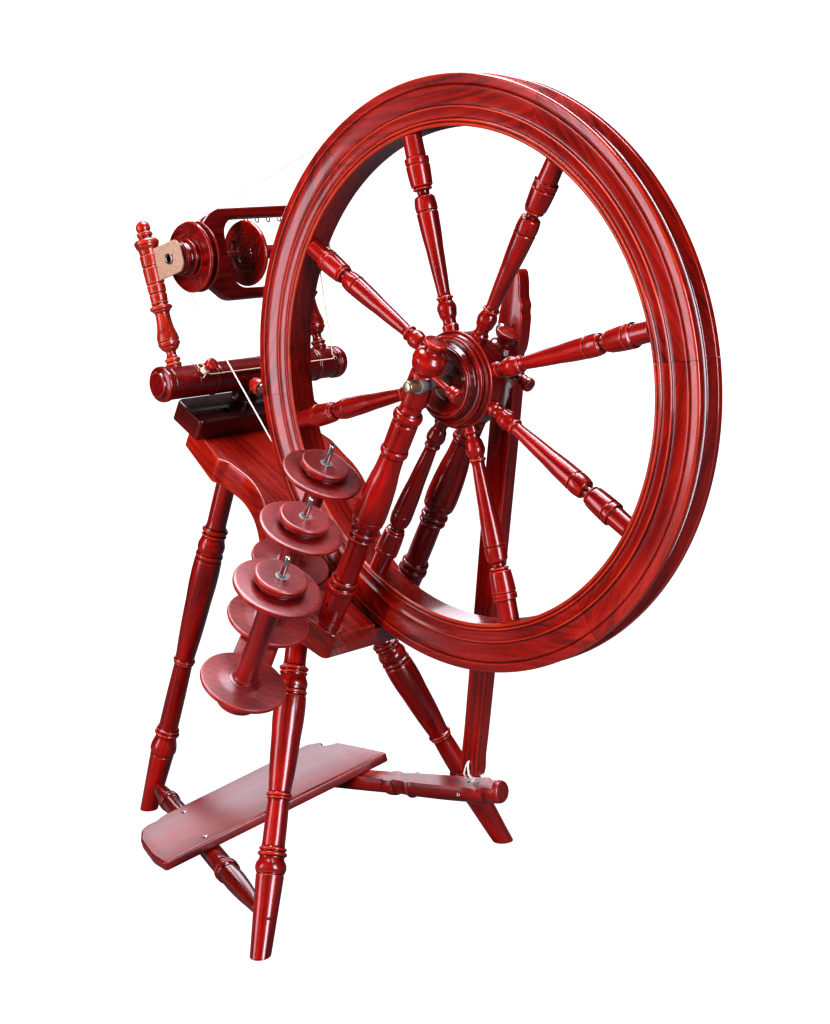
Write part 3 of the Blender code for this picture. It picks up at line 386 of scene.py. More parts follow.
def stainedWoodGroup():
    # streaks, growth rings, pores and blotches in the plank; painted shade darkens the hollows, and the
    # arrises are lighter from wear and a painted highlight
    g = bpy.data.node_groups.new("stainedWood", "ShaderNodeTree")
    socket(g, "Place", "NodeSocketVector")
    socket(g, "Arris", "NodeSocketFloat", 0.0)
    socket(g, "Dark", "NodeSocketColor", (0.05, 0.003, 0.002, 1))
    socket(g, "Light", "NodeSocketColor", (0.35, 0.02, 0.008, 1))
    # colour of the arrises: wear together with a painted highlight
    socket(g, "WornAndHighlit", "NodeSocketColor", (0.5, 0.08, 0.03, 1))
    socket(g, "Figure", "NodeSocketFloat", 1.0)
    socket(g, "Pores", "NodeSocketFloat", 0.5)
    socket(g, "Shine", "NodeSocketFloat", 0.3)
    socket(g, "Color", "NodeSocketColor", side="OUTPUT")
    socket(g, "Roughness", "NodeSocketFloat", side="OUTPUT")
    socket(g, "Height", "NodeSocketFloat", side="OUTPUT")
    n, link = g.nodes, g.links.new
    gi, go = n.new("NodeGroupInput"), n.new("NodeGroupOutput")

    def noise(scale, vectorScale, detail, rough=0.55, warp=0.0):
        m = n.new("ShaderNodeMapping")
        m.inputs["Scale"].default_value = vectorScale
        link(gi.outputs["Place"], m.inputs["Vector"])
        t = n.new("ShaderNodeTexNoise")
        t.inputs["Scale"].default_value = scale
        t.inputs["Detail"].default_value = detail
        t.inputs["Roughness"].default_value = rough
        t.inputs["Distortion"].default_value = warp
        link(m.outputs["Vector"], t.inputs["Vector"])
        return t.outputs["Fac"]

    def maths(kind, a, b=None, c=None, clamp=False):
        m = n.new("ShaderNodeMath")
        m.operation, m.use_clamp = kind, clamp
        for k, x in enumerate((a, b, c)):
            if x is None:
                continue
            if isinstance(x, (int, float)):
                m.inputs[k].default_value = x
            else:
                link(x, m.inputs[k])
        return m.outputs[0]

    def ramp(value, low, high):
        m = n.new("ShaderNodeMapRange")
        m.interpolation_type = "SMOOTHSTEP"
        m.inputs["From Min"].default_value, m.inputs["From Max"].default_value = low, high
        link(value, m.inputs["Value"])
        return m.outputs["Result"]

    streak = ramp(noise(1, (9, 260, 260), 5, 0.6, 0.3), 0.3, 0.72)
    fine = ramp(noise(1, (26, 900, 900), 3, 0.6), 0.32, 0.7)
    blotch = ramp(noise(1, (9, 26, 26), 3, 0.5), 0.32, 0.68)
    wave = n.new("ShaderNodeTexWave")
    wave.wave_type, wave.rings_direction = "RINGS", "X"
    wave.inputs["Scale"].default_value = 38
    wave.inputs["Distortion"].default_value = 5
    wave.inputs["Detail"].default_value = 3
    wave.inputs["Detail Scale"].default_value = 1.2
    m = n.new("ShaderNodeMapping")
    m.inputs["Scale"].default_value = (0.12, 1, 1)
    m.inputs["Location"].default_value = (0, 0.035, 0.02)
    link(gi.outputs["Place"], m.inputs["Vector"])
    link(m.outputs["Vector"], wave.inputs["Vector"])
    rings = ramp(wave.outputs["Fac"], 0.05, 0.95)
    value = maths("ADD", maths("MULTIPLY", streak, 0.36), maths("MULTIPLY", rings, 0.2))
    value = maths("ADD", value, maths("ADD", maths("MULTIPLY", blotch, 0.28), maths("MULTIPLY", fine, 0.16)))
    centred = maths("SUBTRACT", value, 0.5)
    value = maths("ADD", maths("MULTIPLY", centred, gi.outputs["Figure"]), 0.5, clamp=True)
    pore = ramp(noise(1, (75, 1700, 1700), 2, 0.5), 0.60, 0.70)
    # painted shade: darker where the surface bends inward, in grooves and hollows
    hollowShade = maths("MULTIPLY", gi.outputs["Arris"], -1.6, clamp=True)
    patchy = maths("ADD", maths("MULTIPLY", blotch, 0.5), 0.35)
    # lighter where the surface bends outward: wear on the arrises together with a painted highlight
    wearAndHighlight = maths("MULTIPLY", ramp(gi.outputs["Arris"], 0.22, 0.8), patchy)

    def mix(kind, fac, a, b):
        x = n.new("ShaderNodeMix")
        x.data_type, x.blend_type = "RGBA", kind
        for given, target in ((fac, x.inputs[0]), (a, x.inputs[6]), (b, x.inputs[7])):
            if isinstance(given, tuple):
                target.default_value = given
            elif isinstance(given, (int, float)):
                target.default_value = given
            else:
                link(given, target)
        return x.outputs[2]

    colour = mix("MIX", value, gi.outputs["Dark"], gi.outputs["Light"])
    # mixes in the worn colour with its painted highlight on the arrises
    colour = mix("MIX", wearAndHighlight, colour, gi.outputs["WornAndHighlit"])
    colour = mix("MULTIPLY", maths("MULTIPLY", pore, gi.outputs["Pores"]), colour, (0.28, 0.2, 0.2, 1))
    # painted shade multiplied into the colour in the hollows
    colour = mix("MULTIPLY", maths("MULTIPLY", hollowShade, 0.85), colour, (0.22, 0.12, 0.12, 1))
    link(colour, go.inputs["Color"])
    rough = maths("ADD", gi.outputs["Shine"], maths("MULTIPLY", blotch, 0.08))
    rough = maths("ADD", rough, maths("MULTIPLY", pore, 0.12), clamp=True)
    link(rough, go.inputs["Roughness"])
    height = maths("SUBTRACT", maths("MULTIPLY", fine, 0.3), maths("MULTIPLY", pore, gi.outputs["Pores"]))
    link(height, go.inputs["Height"])
    return g


stainedWood = stainedWoodGroup()


def attribute(nodes, name):
    a = nodes.new("ShaderNodeAttribute")
    a.attribute_name = name
    return a


def wood(name, dark, light, wornAndHighlit, figure=1.0, pores=0.5, shine=0.3, coat=0.8, coatRoughness=0.09, bump=0.1):
    m = bpy.data.materials.new(name)
    m.use_nodes = True
    nodes, link = m.node_tree.nodes, m.node_tree.links.new
    shader = nodes["Principled BSDF"]
    g = nodes.new("ShaderNodeGroup")
    g.node_tree = stainedWood
    link(attribute(nodes, "grain").outputs["Vector"], g.inputs["Place"])
    link(attribute(nodes, "arris").outputs["Fac"], g.inputs["Arris"])
    g.inputs["Dark"].default_value = (*dark, 1)
    g.inputs["Light"].default_value = (*light, 1)
    g.inputs["WornAndHighlit"].default_value = (*wornAndHighlit, 1)
    g.inputs["Figure"].default_value = figure
    g.inputs["Pores"].default_value = pores
    g.inputs["Shine"].default_value = shine - 0.08
    link(g.outputs["Color"], shader.inputs["Base Color"])
    link(g.outputs["Roughness"], shader.inputs["Roughness"])
    b = nodes.new("ShaderNodeBump")
    b.inputs["Strength"].default_value = bump
    b.inputs["Distance"].default_value = 0.0002
    link(g.outputs["Height"], b.inputs["Height"])
    link(b.outputs["Normal"], shader.inputs["Normal"])
    shader.inputs["Coat Weight"].default_value = coat
    shader.inputs["Coat Roughness"].default_value = coatRoughness
    shader.inputs["Coat IOR"].default_value = 1.5
    return m


def mottledGroup():
    # two tones by a noise in the piece's own place, the same noise in roughness and height
    g = bpy.data.node_groups.new("mottled", "ShaderNodeTree")
    socket(g, "Place", "NodeSocketVector")
    socket(g, "Stretch", "NodeSocketVector")
    socket(g, "Scale", "NodeSocketFloat", 300.0)
    socket(g, "First", "NodeSocketColor", (0.2, 0.2, 0.2, 1))
    socket(g, "Second", "NodeSocketColor", (0.3, 0.3, 0.3, 1))
    socket(g, "Smooth", "NodeSocketFloat", 0.3)
    socket(g, "Rough", "NodeSocketFloat", 0.4)
    socket(g, "Color", "NodeSocketColor", side="OUTPUT")
    socket(g, "Roughness", "NodeSocketFloat", side="OUTPUT")
    socket(g, "Height", "NodeSocketFloat", side="OUTPUT")
    n, link = g.nodes, g.links.new
    gi, go = n.new("NodeGroupInput"), n.new("NodeGroupOutput")
    mapping, noise = n.new("ShaderNodeMapping"), n.new("ShaderNodeTexNoise")
    noise.inputs["Detail"].default_value = 4
    link(gi.outputs["Place"], mapping.inputs["Vector"])
    link(gi.outputs["Stretch"], mapping.inputs["Scale"])
    link(mapping.outputs["Vector"], noise.inputs["Vector"])
    link(gi.outputs["Scale"], noise.inputs["Scale"])
    tone = n.new("ShaderNodeMapRange")
    tone.inputs["From Min"].default_value, tone.inputs["From Max"].default_value = 0.3, 0.7
    link(noise.outputs["Fac"], tone.inputs["Value"])
    mix = n.new("ShaderNodeMix")
    mix.data_type = "RGBA"
    link(tone.outputs["Result"], mix.inputs[0])
    link(gi.outputs["First"], mix.inputs[6])
    link(gi.outputs["Second"], mix.inputs[7])
    link(mix.outputs[2], go.inputs["Color"])
    rough = n.new("ShaderNodeMapRange")
    link(noise.outputs["Fac"], rough.inputs["Value"])
    link(gi.outputs["Smooth"], rough.inputs["To Min"])
    link(gi.outputs["Rough"], rough.inputs["To Max"])
    link(rough.outputs["Result"], go.inputs["Roughness"])
    link(noise.outputs["Fac"], go.inputs["Height"])
    return g


mottled = mottledGroup()


def simple(name, colour, second, scale, roughness, spread=0.1, metallic=0.0, bump=0.2, stretch=(1, 1, 1),
           distance=0.0002):
    m = bpy.data.materials.new(name)
    m.use_nodes = True
    nodes, link = m.node_tree.nodes, m.node_tree.links.new
    shader = nodes["Principled BSDF"]
    g = nodes.new("ShaderNodeGroup")
    g.node_tree = mottled
    link(attribute(nodes, "grain").outputs["Vector"], g.inputs["Place"])
    g.inputs["Stretch"].default_value = stretch
    g.inputs["Scale"].default_value = scale
    g.inputs["First"].default_value, g.inputs["Second"].default_value = (*colour, 1), (*second, 1)
    g.inputs["Smooth"].default_value = roughness - spread / 2
    g.inputs["Rough"].default_value = roughness + spread / 2
    link(g.outputs["Color"], shader.inputs["Base Color"])
    link(g.outputs["Roughness"], shader.inputs["Roughness"])
    b = nodes.new("ShaderNodeBump")
    b.inputs["Strength"].default_value = bump
    b.inputs["Distance"].default_value = distance
    link(g.outputs["Height"], b.inputs["Height"])
    link(b.outputs["Normal"], shader.inputs["Normal"])
    shader.inputs["Metallic"].default_value = metallic
    return m


# third colour of each wood: worn arrises with a painted highlight
redWood = wood("redWood", (0.040, 0.0008, 0.0006), (0.32, 0.0042, 0.0012), (0.42, 0.03, 0.008))
rimWood = wood("rimWood", (0.055, 0.0012, 0.0008), (0.31, 0.0070, 0.0012), (0.48, 0.05, 0.012), figure=1.1)
darkWood = wood("darkWood", (0.025, 0.0008, 0.0006), (0.20, 0.0026, 0.0010), (0.34, 0.02, 0.008))
blockWood = wood("blockWood", (0.006, 0.0006, 0.0005), (0.04, 0.0010, 0.0008), (0.14, 0.006, 0.004),
                 pores=0.3)
tableWood = wood("tableWood", (0.07, 0.0012, 0.0008), (0.36, 0.012, 0.0016), (0.6, 0.16, 0.09), figure=1.1)
satinWood = wood("satinWood", (0.06, 0.002, 0.002), (0.24, 0.008, 0.006), (0.40, 0.05, 0.035), shine=0.42,
                 coat=0.7, coatRoughness=0.28, figure=1.3, bump=0.25)
maidenWood = wood("maidenWood", (0.12, 0.004, 0.002), (0.44, 0.025, 0.008), (0.6, 0.12, 0.06),
                  coatRoughness=0.2)
hookSteel = simple("hookSteel", (0.22, 0.22, 0.23), (0.36, 0.35, 0.34), 300, 0.35, 0.1, 1.0, 0.05)
steel = simple("steel", (0.62, 0.6, 0.56), (0.74, 0.72, 0.69), 300, 0.22, 0.12, 1.0, 0.05, (0.05, 1, 1))
chromed = simple("chromed", (0.72, 0.72, 0.73), (0.8, 0.8, 0.8), 400, 0.12, 0.06, 1.0, 0.03)
brassy = simple("brassy", (0.62, 0.50, 0.30), (0.74, 0.66, 0.46), 300, 0.3, 0.15, 1.0, 0.08, (0.05, 1, 1))
hide = simple("hide", (0.25, 0.15, 0.11), (0.36, 0.23, 0.17), 420, 0.5, 0.15, 0.0, 0.5, (1, 1, 1), 0.0003)
bush = simple("bush", (0.12, 0.12, 0.12), (0.2, 0.2, 0.2), 500, 0.45, 0.1, 0.0, 0.1)
cotton = simple("cotton", (0.55, 0.53, 0.50), (0.80, 0.79, 0.76), 1800, 0.9, 0.1, 0.0, 0.6, (1, 1, 1), 0.0002)
string = simple("string", (0.50, 0.43, 0.33), (0.72, 0.66, 0.56), 1800, 0.9, 0.1, 0.0, 0.6, (1, 1, 1), 0.0002)
darkCore = simple("darkCore", (0.012, 0.003, 0.002), (0.03, 0.006, 0.004), 300, 0.5, 0.1, 0.0, 0.2)
redKnob = wood("redKnob", (0.2, 0.008, 0.004), (0.45, 0.02, 0.008), (0.6, 0.12, 0.06))
print("finishes made")

rim = {"radius": 300.0, "depth": 50.5, "half": 18.3, "groove": 8.0, "felloes": 6, "firstJoint": 6.0,
       "gap": 0.3}


def rimSection():
    # closed line of (sideways, radius): moulded front face, outside with the band's groove, plain back
    outer, h = rim["radius"], rim["half"]
    inner = outer - rim["depth"]
    steps = [(-h + 1.4, inner), (-h + 0.7, inner + 1.0), (-h + 0.4, inner + 2.2), (-h + 0.7, inner + 3.2),
             (-h + 1.3, inner + 3.9), (-h + 1.2, inner + 4.5), (-h + 0.4, inner + 5.6),
             (-h + 0.5, inner + 6.6), (-h + 1.5, inner + 7.4), (-h + 2.8, inner + 7.9)]
    t = np.linspace(0, 1, 14)[1:]
    steps += [(-h + 2.8 - 1.9 * x * x, inner + 7.9 + 9.6 * x) for x in t]
    steps += [(-h + 0.5, inner + 18.2), (-h + 0.5, inner + 19.6), (-h + 3.2, inner + 20.4)]
    steps += [(-h + 3.2 - 2.5 * (3 * x * x - 2 * x ** 3), inner + 20.6 + 18.0 * x) for x in t]
    steps += [(-h + 1.7, inner + 39.6), (-h + 1.7, inner + 40.3), (-h, inner + 41.4), (-h, outer - 1.4),
              (-h + 1.3, outer), (-11.4, outer), (-10.8, outer - 0.5)]
    g = rim["groove"]
    steps += [(-5.0, outer - g + 0.3), (-3.6, outer - g), (3.6, outer - g), (5.0, outer - g + 0.3),
              (10.8, outer - 0.5), (11.4, outer)]
    steps += [(h - 1.3, outer), (h, outer - 1.4), (h, inner + 6.0), (h - 1.6, inner + 3.4), (h - 4.6, inner)]
    return smoothLoop(steps, 0.7, 1)


def felloeGrid(index):
    # the section carried round one sixth of a turn: x = r cos a, z = r sin a
    section = rimSection()
    edge = math.degrees(rim["gap"] / 2 / (rim["radius"] - rim["depth"]))
    first = rim["firstJoint"] + 360 / rim["felloes"] * index + edge
    a = np.radians(np.linspace(first, first + 360 / rim["felloes"] - 2 * edge, 49))
    y, r = section[:, 0] * mm, section[:, 1] * mm
    points = np.stack([np.outer(np.cos(a), r), np.tile(y, (len(a), 1)), np.outer(np.sin(a), r)],
                      -1) + wheelCentre
    n = len(section)
    faces = gridFaces(len(a), n).tolist()
    faces += [list(range(n)), list(range(len(a) * n - n, len(a) * n))]
    middle = math.radians(first + 180 / rim["felloes"])
    return points.reshape(-1, 3), faces, (-math.sin(middle), 0, math.cos(middle))


for i in range(rim["felloes"]):
    points, faces, along = felloeGrid(i)
    solid("felloe%d" % (i + 1), points, faces, "wheel", rimWood, wheelCentre, along,
          "felloe_%d" % (i + 1))

spoke = {"count": 8, "plane": -7.7, "start": 48.8, "phase": 102.94}
spokeSteps = [(48.8, 0), (48.8, 8.4), (54.5, 8.6), (57.2, 6.9, "ease"), (60.0, 6.8), (66.0, 9.0, "ease"),
              (71.0, 9.8), (76.5, 9.0, "bead", 0.5), (80.6, 7.2, "ease"), (81.4, 7.2),
              (84.8, 7.4, "bead", 1.4), (86.0, 6.9), (88.6, 6.6), (94.0, 6.9), (133.0, 9.0, "belly", 0.15),
              (166.0, 11.0, "belly", 0.3), (170.6, 11.3), (171.4, 10.6), (172.2, 10.6), (173.2, 11.3),
              (184.5, 10.6, "belly", 0.4), (187.2, 9.2, "out"), (189.4, 6.3, "ease"), (192.6, 6.3),
              (193.4, 7.8), (196.0, 8.4, "bead", 1.9), (197.0, 9.6), (199.0, 11.2, "in"),
              (219.0, 12.4, "belly", 0.2), (219.6, 11.6), (220.4, 11.6), (221.0, 12.5), (226.4, 12.5),
              (227.4, 10.4), (249.0, 10.0), (249.0, 0)]
spokeLine = lineOf(spokeSteps, 2.6)
spokeLine[:, 0] -= spoke["start"]
for i in range(spoke["count"]):
    a = math.radians(spoke["phase"] - 45 * i)
    out = np.array((math.cos(a), 0, math.sin(a)))
    base = at(0, spoke["plane"], 0) + out * spoke["start"] * mm
    points, faces = latheGrid(spokeLine, base, out, 44)
    solid("spoke%d" % (i + 1), points, faces, "wheel", redWood, base, out, "spoke_%d" % (i + 1))

hubSteps = [(-20.0, 6.3), (-20.0, 20), (-21.5, 22), (-28.0, 31.5, "belly", 1.2), (-28.3, 33.0),
            (-28.3, 35.6), (-27.0, 37.2, "out"), (-21.0, 38.6), (-19.6, 39.8), (-18.8, 43.6, "in"),
            (-17.6, 45.0, "in"), (-15.4, 45.0), (-14.6, 43.4), (-13.6, 43.2), (-12.6, 45.6, "ease"),
            (-10.6, 47.0), (-9.6, 48.4), (-8.0, 49.9, "in"), (10.4, 49.9), (11.6, 48.9), (12.2, 46.4),
            (14.0, 45.6), (16.0, 44.0, "bead", 0.9), (24.0, 37.5, "belly", 1.5), (27.0, 31.0, "belly", 1),
            (28.0, 20.0), (28.0, 6.3), (-20.0, 6.3)]
points, faces = latheGrid(lineOf(hubSteps, 2.5)[:-1], at(0, spoke["plane"], 0), back, 96, bored=True)
solid("hub", points, faces, "wheel", darkWood, at(0, 0, 0), (0.3, 0, 1), "hub")

crank = {"angle": 107.0, "throw": 44.5, "front": -86.0, "arm": 67.3, "armThick": 8.0}
rodSteps = [(crank["front"], 0), (crank["front"], 4.6), (crank["front"] + 1.4, 6.0), (71, 6.0), (71, 0)]
points, faces = latheGrid(lineOf(rodSteps, 8), at(0, 0, 0), back, 48)
solid("axleRod", points, faces, "wheel", brassy, at(0, 0, 0), back, "axle_crank")
ca = math.radians(crank["angle"])
armOut, armSide = np.array((math.cos(ca), 0, math.sin(ca))), np.array((-math.sin(ca), 0, math.cos(ca)))
loop = smoothLoop(arcPoints((0, 0), 9.0, 90, 270, 20) + arcPoints((crank["throw"], 0), 7.0, -90, 90, 20),
                  1.0, 2)
points, faces = slabGrid(loop, at(0, crank["arm"], 0), armOut, armSide, back, crank["armThick"], 1.2)
solid("crankArm", points, faces, "wheel", steel, at(0, 0, 0), armOut)
pin = at(0, 0, 0) + armOut * crank["throw"] * mm
points, faces = latheGrid(lineOf([(70, 0), (70, 5), (78.2, 5), (79.3, 4.2), (79.3, 0)], 4), pin, back, 32)
solid("crankPin", points, faces, "wheel", steel, pin, back)
print("wheel made")

table = {"thick": 33.0, "soft": 2.6}


def tableLoop():
    # high end, hollow waist in front falling to the wide wheel end, a rounded belly behind
    t = np.linspace(0, 1, 40)
    blend = t * t * (3 - 2 * t)
    waist = [(-248 + 218 * x, 5 - 102 * b) for x, b in zip(t, blend)]
    rear = [(-30 - 8 - 213.6 * x, 80 + 90 * b) for x, b in zip(t, blend)]
    front = [(-362, 6), (-287, -8), (-278, 0)] + waist + [(-4, -95), (23, -88), (27, -84)]
    return smoothLoop(front + [(27, 68), (-4, 78), (-30, 80)] + rear + [(-287, 174), (-362, 158)], 2.0, 2)


points, faces = slabGrid(tableLoop(), onTable(0, 0, tableTop - table["thick"]), down, back, square,
                         table["thick"], table["soft"])
scoop = cutterRod(at(0, -24.3, 0), at(0, 24.3, 0), 304.0, 256)
solid("table", points, faces, "stand", tableWood, onTable(-150, 40, tableTop - 60), down,
      "table", carve=(scoop,))

legPlaces = {"foot_flyer_end": ("legFlyerEnd", "leg_flyer_end", (0.335, 0.1, 1.0)),
             "foot_front": ("legFront", "leg_front", (-0.245, 0.46, 1.0)),
             "foot_back": ("legBack", "leg_back", (-0.245, -0.46, 1.0))}


def legLine(length, upper):
    # tapered foot, ring, ball and ring, long taper with one ring, swelling, ring and ball, plain neck
    k = length * upper
    b = 85 + 0.075 * k
    steps = [(0, 0), (0, 10.4), (1.2, 11.2, "in"), (82.0, 15.0), (83.2, 15.2), (84.0, 14.4), (85.0, 14.4),
             (85.8, 15.4), (90, 16.6, "ease"), (94.0, 16.4, "belly", 0.2), (b - 12.0, 13.4, "ease"),
             (b - 10.6, 13.2), (b - 9.6, 14.2), (b - 5.6, 14.2, "bead", 1.7), (b - 4.6, 13.4),
             (b - 3.8, 13.8), (b - 0.8, 13.8, "bead", 1.0), (b, 12.6), (b + 5, 12.3),
             (k * 0.446 - 4.6, 11.4, "belly", 0.3), (k * 0.446 - 3.6, 12.0),
             (k * 0.446 - 1.2, 12.0, "bead", 1.0), (k * 0.446 - 0.6, 12.2),
             (k * 0.446 + 3.0, 12.2, "bead", 1.9), (k * 0.446 + 4.0, 11.9), (k * 0.62, 16.0, "belly", 0.6),
             (k * 0.70, 17.4, "belly", 0.4), (k * 0.734, 16.9), (k * 0.737, 16.0), (k * 0.741, 16.0),
             (k * 0.744, 17.0), (k * 0.750, 17.0), (k * 0.753, 15.8), (k * 0.76, 15.9),
             (k * 0.776, 16.6, "belly", 0.5), (k * 0.792, 14.6, "ease"), (k * 0.796, 14.0),
             (k * 0.800, 14.2), (k * 0.806, 14.4, "bead", 1.2), (k * 0.808, 13.6), (k * 0.811, 14.0),
             (k * 0.822, 13.8, "bead", 2.2), (k * 0.825, 12.4), (k * 0.85, 12.0, "belly", -0.2),
             (length, 12.2), (length, 0)]
    return lineOf(steps, 4.0)


legs = {}
for mount, (name, node, lean) in legPlaces.items():
    foot, way = np.array(mounts[mount]["pos_m"], float), unit(lean)
    length = ((onTable(0, 0, tableTop - table["thick"] - 0.6) - foot) @ square) / (way @ square) / mm
    legs[node] = (foot, way, length, name)


def onLeg(node, high):
    foot, way = legs[node][:2]
    return foot + way * (high - foot[2]) / way[2]


# the treadle's pivot runs from leg to leg: along it, forward to the lever's end, upward from the board
treadle = {"high": 0.036, "tilt": 14.0, "reachA": 18.0, "reachB": 23.0, "pinStop": 6.0, "pin": 4.0,
           "rise": 12.9, "thick": 12.0}
pivotA, pivotB = onLeg("leg_flyer_end", treadle["high"]), onLeg("leg_front", treadle["high"])
along = unit(pivotB - pivotA)
level = np.cross(upright, along) if np.cross(upright, along)[0] > 0 else np.cross(along, upright)
tilt = math.radians(treadle["tilt"])
forward = level * math.cos(tilt) + upright * math.sin(tilt)
upward = upright * math.cos(tilt) - level * math.sin(tilt)
for node, (foot, way, length, name) in legs.items():
    points, faces = latheGrid(legLine(length, 0.925 if node == "leg_back" else 1.0), foot, way, 64,
                              cutLow=upright, cutHigh=square)
    carve = []
    if node != "leg_back":
        inward, p = (along, pivotA) if node == "leg_flyer_end" else (-along, pivotB)
        carve = [cutterRod(p + inward * (treadle["pinStop"] - 0.3) * mm, p + inward * 40 * mm,
                           treadle["pin"] + 0.3)]
    solid(name, points, faces, "stand", redWood, foot, way, node, carve=carve)
print("table and legs made")

post = {"s": -3.5, "front": -63.0, "rear": 43.0, "peg": 15.0}
postSteps = [(0, 0), (0, 12.6), (1.2, 13.2, "in"), (33.5, 14.6), (35.0, 15.0), (41.0, 15.0, "bead", 1.2),
             (42.2, 13.6), (43.6, 13.4), (45.0, 13.8), (50.0, 13.6, "bead", 1.6), (51.4, 12.4), (54, 12.2),
             (101, 11.9, "belly", 0.2), (102.4, 12.6), (106.4, 12.8, "bead", 2.0), (108.0, 12.4),
             (109.6, 12.8), (114.6, 12.8, "bead", 2.3), (116.4, 12.4), (119.0, 13.4, "ease"),
             (126.0, 16.8, "ease"), (130.6, 17.5, "out"), (131.6, 16.9), (132.6, 16.9), (133.6, 17.5),
             (140, 17.5), (179.0, 15.0, "belly", 0.4), (205.0, 12.6, "belly", -0.5), (208.6, 12.4),
             (210.0, 13.0), (217.5, 13.0, "bead", 1.7), (219.0, 12.6), (220.5, 13.4), (248.0, 13.7),
             (250.0, 12.6), (251.4, 12.8), (261.4, 12.8, "bead", 2.6), (263.4, 11.6), (265.0, 11.4, "ease"),
             (269.0, 11.4), (274.0, 13.7, "ease"), (307.0, 13.7), (309.2, 12.6), (311.0, 12.8),
             (318.6, 16.2, "in"), (329.0, 14.4, "belly", 1.9), (334.0, 9.2, "ease"), (338.0, 9.0),
             (340.0, 11.0, "in"), (344.0, 11.0, "bead", 1.0), (345.4, 0, "line")]
postLine = lineOf(postSteps, 3.0)
for name, node, y in (("postFront", "post_front", post["front"]), ("postRear", "post_rear", post["rear"])):
    base = onTable(post["s"], y, tableTop + 0.3)
    points, faces = latheGrid(postLine, base, square, 64)
    carve = [cutterRod(at(0, y - 40, 0), at(0, y + 40, 0), 8.9),
             cutterBox(at(15, y, 0), (1, 0, 0), back, upright, (15, 40, 6.4))]
    if y < 0:
        carve.append(cutterRod(base + square * 0.017 - back * 0.03, base + square * 0.017, 1.9, 20))
    solid(name, points, faces, "stand", redWood, base, square, node, carve=carve)
    bushLine = np.array([(-8, 6.3), (-8, 8.2), (-7.6, 8.6), (7.6, 8.6), (8, 8.2), (8, 6.3)])
    points, faces = latheGrid(bushLine, at(0, y, 0), back, 40, bored=True)
    end = "front" if y < 0 else "rear"
    solid("axleBearing" + end.title(), points, faces, "stand", bush, at(0, y, 0), back,
          "axle_bearing_" + end)
    pegSteps = [(0, 0), (0, 1.9), (0.8, 2.3), (50.0, 3.5), (52.0, 5.6, "ease"), (53.4, 6.6),
                (58.5, 6.4, "belly", -0.3), (60.0, 7.3, "in"), (63.6, 7.3, "bead", 0.3), (65.4, 5.8, "out"),
                (65.9, 0)]
    start = onTable(post["s"] - 15, y, post["peg"])
    points, faces = latheGrid(lineOf(pegSteps, 3), start, down, 40)
    solid("axlePeg" + end.title(), points, faces, "stand", redWood, start, down,
          "axle_peg_" + end)
print("posts made")

lean = math.radians(14.7)
maidenUp = np.array((-math.sin(lean), 0, math.cos(lean)))
maidenOut = np.array((math.cos(lean), 0, math.sin(lean)))
moa = flyerCentre - maidenUp * 138.4 * mm - maidenOut * 38.4 * mm
moaS, moaN = (moa - wheelCentre) @ down / mm, (moa - wheelCentre) @ square / mm
maidens = {"front": -31.0, "rear": 199.0}
moaSteps = [(-62, 0), (-62, 13.0), (-61.0, 14.4, "in"), (-58.6, 15.6), (-57.6, 18.4, "ease"),
            (-55.6, 20.9, "in"), (-50.4, 20.9, "bead", 0.4), (-48.6, 19.8, "out"), (-47.6, 18.9),
            (-46.4, 18.9), (-45.6, 19.5), (-12, 19.5), (-11.4, 19.1), (-10.8, 19.5), (12.0, 19.6),
            (13.0, 19.0), (14.0, 19.0), (15.0, 19.7), (19.5, 19.7, "bead", 0.6), (20.5, 19.0), (21.5, 19.0),
            (22.5, 19.6), (88, 19.5), (89, 18.7), (90.2, 18.7), (91, 19.5), (176.0, 19.5), (177.6, 18.9),
            (179.0, 19.6), (184.6, 19.6, "bead", 1.3), (185.8, 18.9), (187.6, 19.2), (207, 19.2),
            (208.4, 18.6), (209.8, 18.6), (211.0, 19.4), (214.6, 19.6, "bead", 1.0),
            (221.0, 19.8, "bead", 0.8), (223.6, 18.4, "out"), (226.0, 15.0, "out"), (226.0, 0)]
points, faces = latheGrid(lineOf(moaSteps, 4.0), moa, back, 72)
solid("motherOfAll", points, faces, "stand", darkWood, moa, back, "mother_of_all")

blockIn, blockOut = moaS - 13, moaS + 39
loop = smoothLoop([(blockIn, -7), (blockIn + 4, -13), (blockOut - 2, -13), (blockOut, -11), (blockOut, 174),
                   (blockOut - 2, 176), (blockIn + 4, 176), (blockIn, 170)], 1.5, 2)
points, faces = slabGrid(loop, onTable(0, 0, tableTop + 0.3), down, back, square, 25.7, 2.2, 0.8)
hole = cutterRod(onTable(moaS + 22, 38, tableTop + 12), onTable(moaS + 22, 38, tableTop + 50), 5.0)
solid("moaBlock", points, faces, "stand", blockWood, onTable(moaS, 0, tableTop), back,
      "moa_block", carve=(hole,))
neckSteps = [(0, 0), (0, 16.6), (1.5, 15.4, "ease"), (8, 14.6), (moaN - tableTop - 26 - 8, 15.4),
             (moaN - tableTop - 26 - 6, 0)]
points, faces = latheGrid(lineOf(neckSteps, 3), onTable(moaS, 82, tableTop + 26), square, 48)
solid("moaNeck", points, faces, "stand", blockWood, onTable(moaS, 82, tableTop), square)

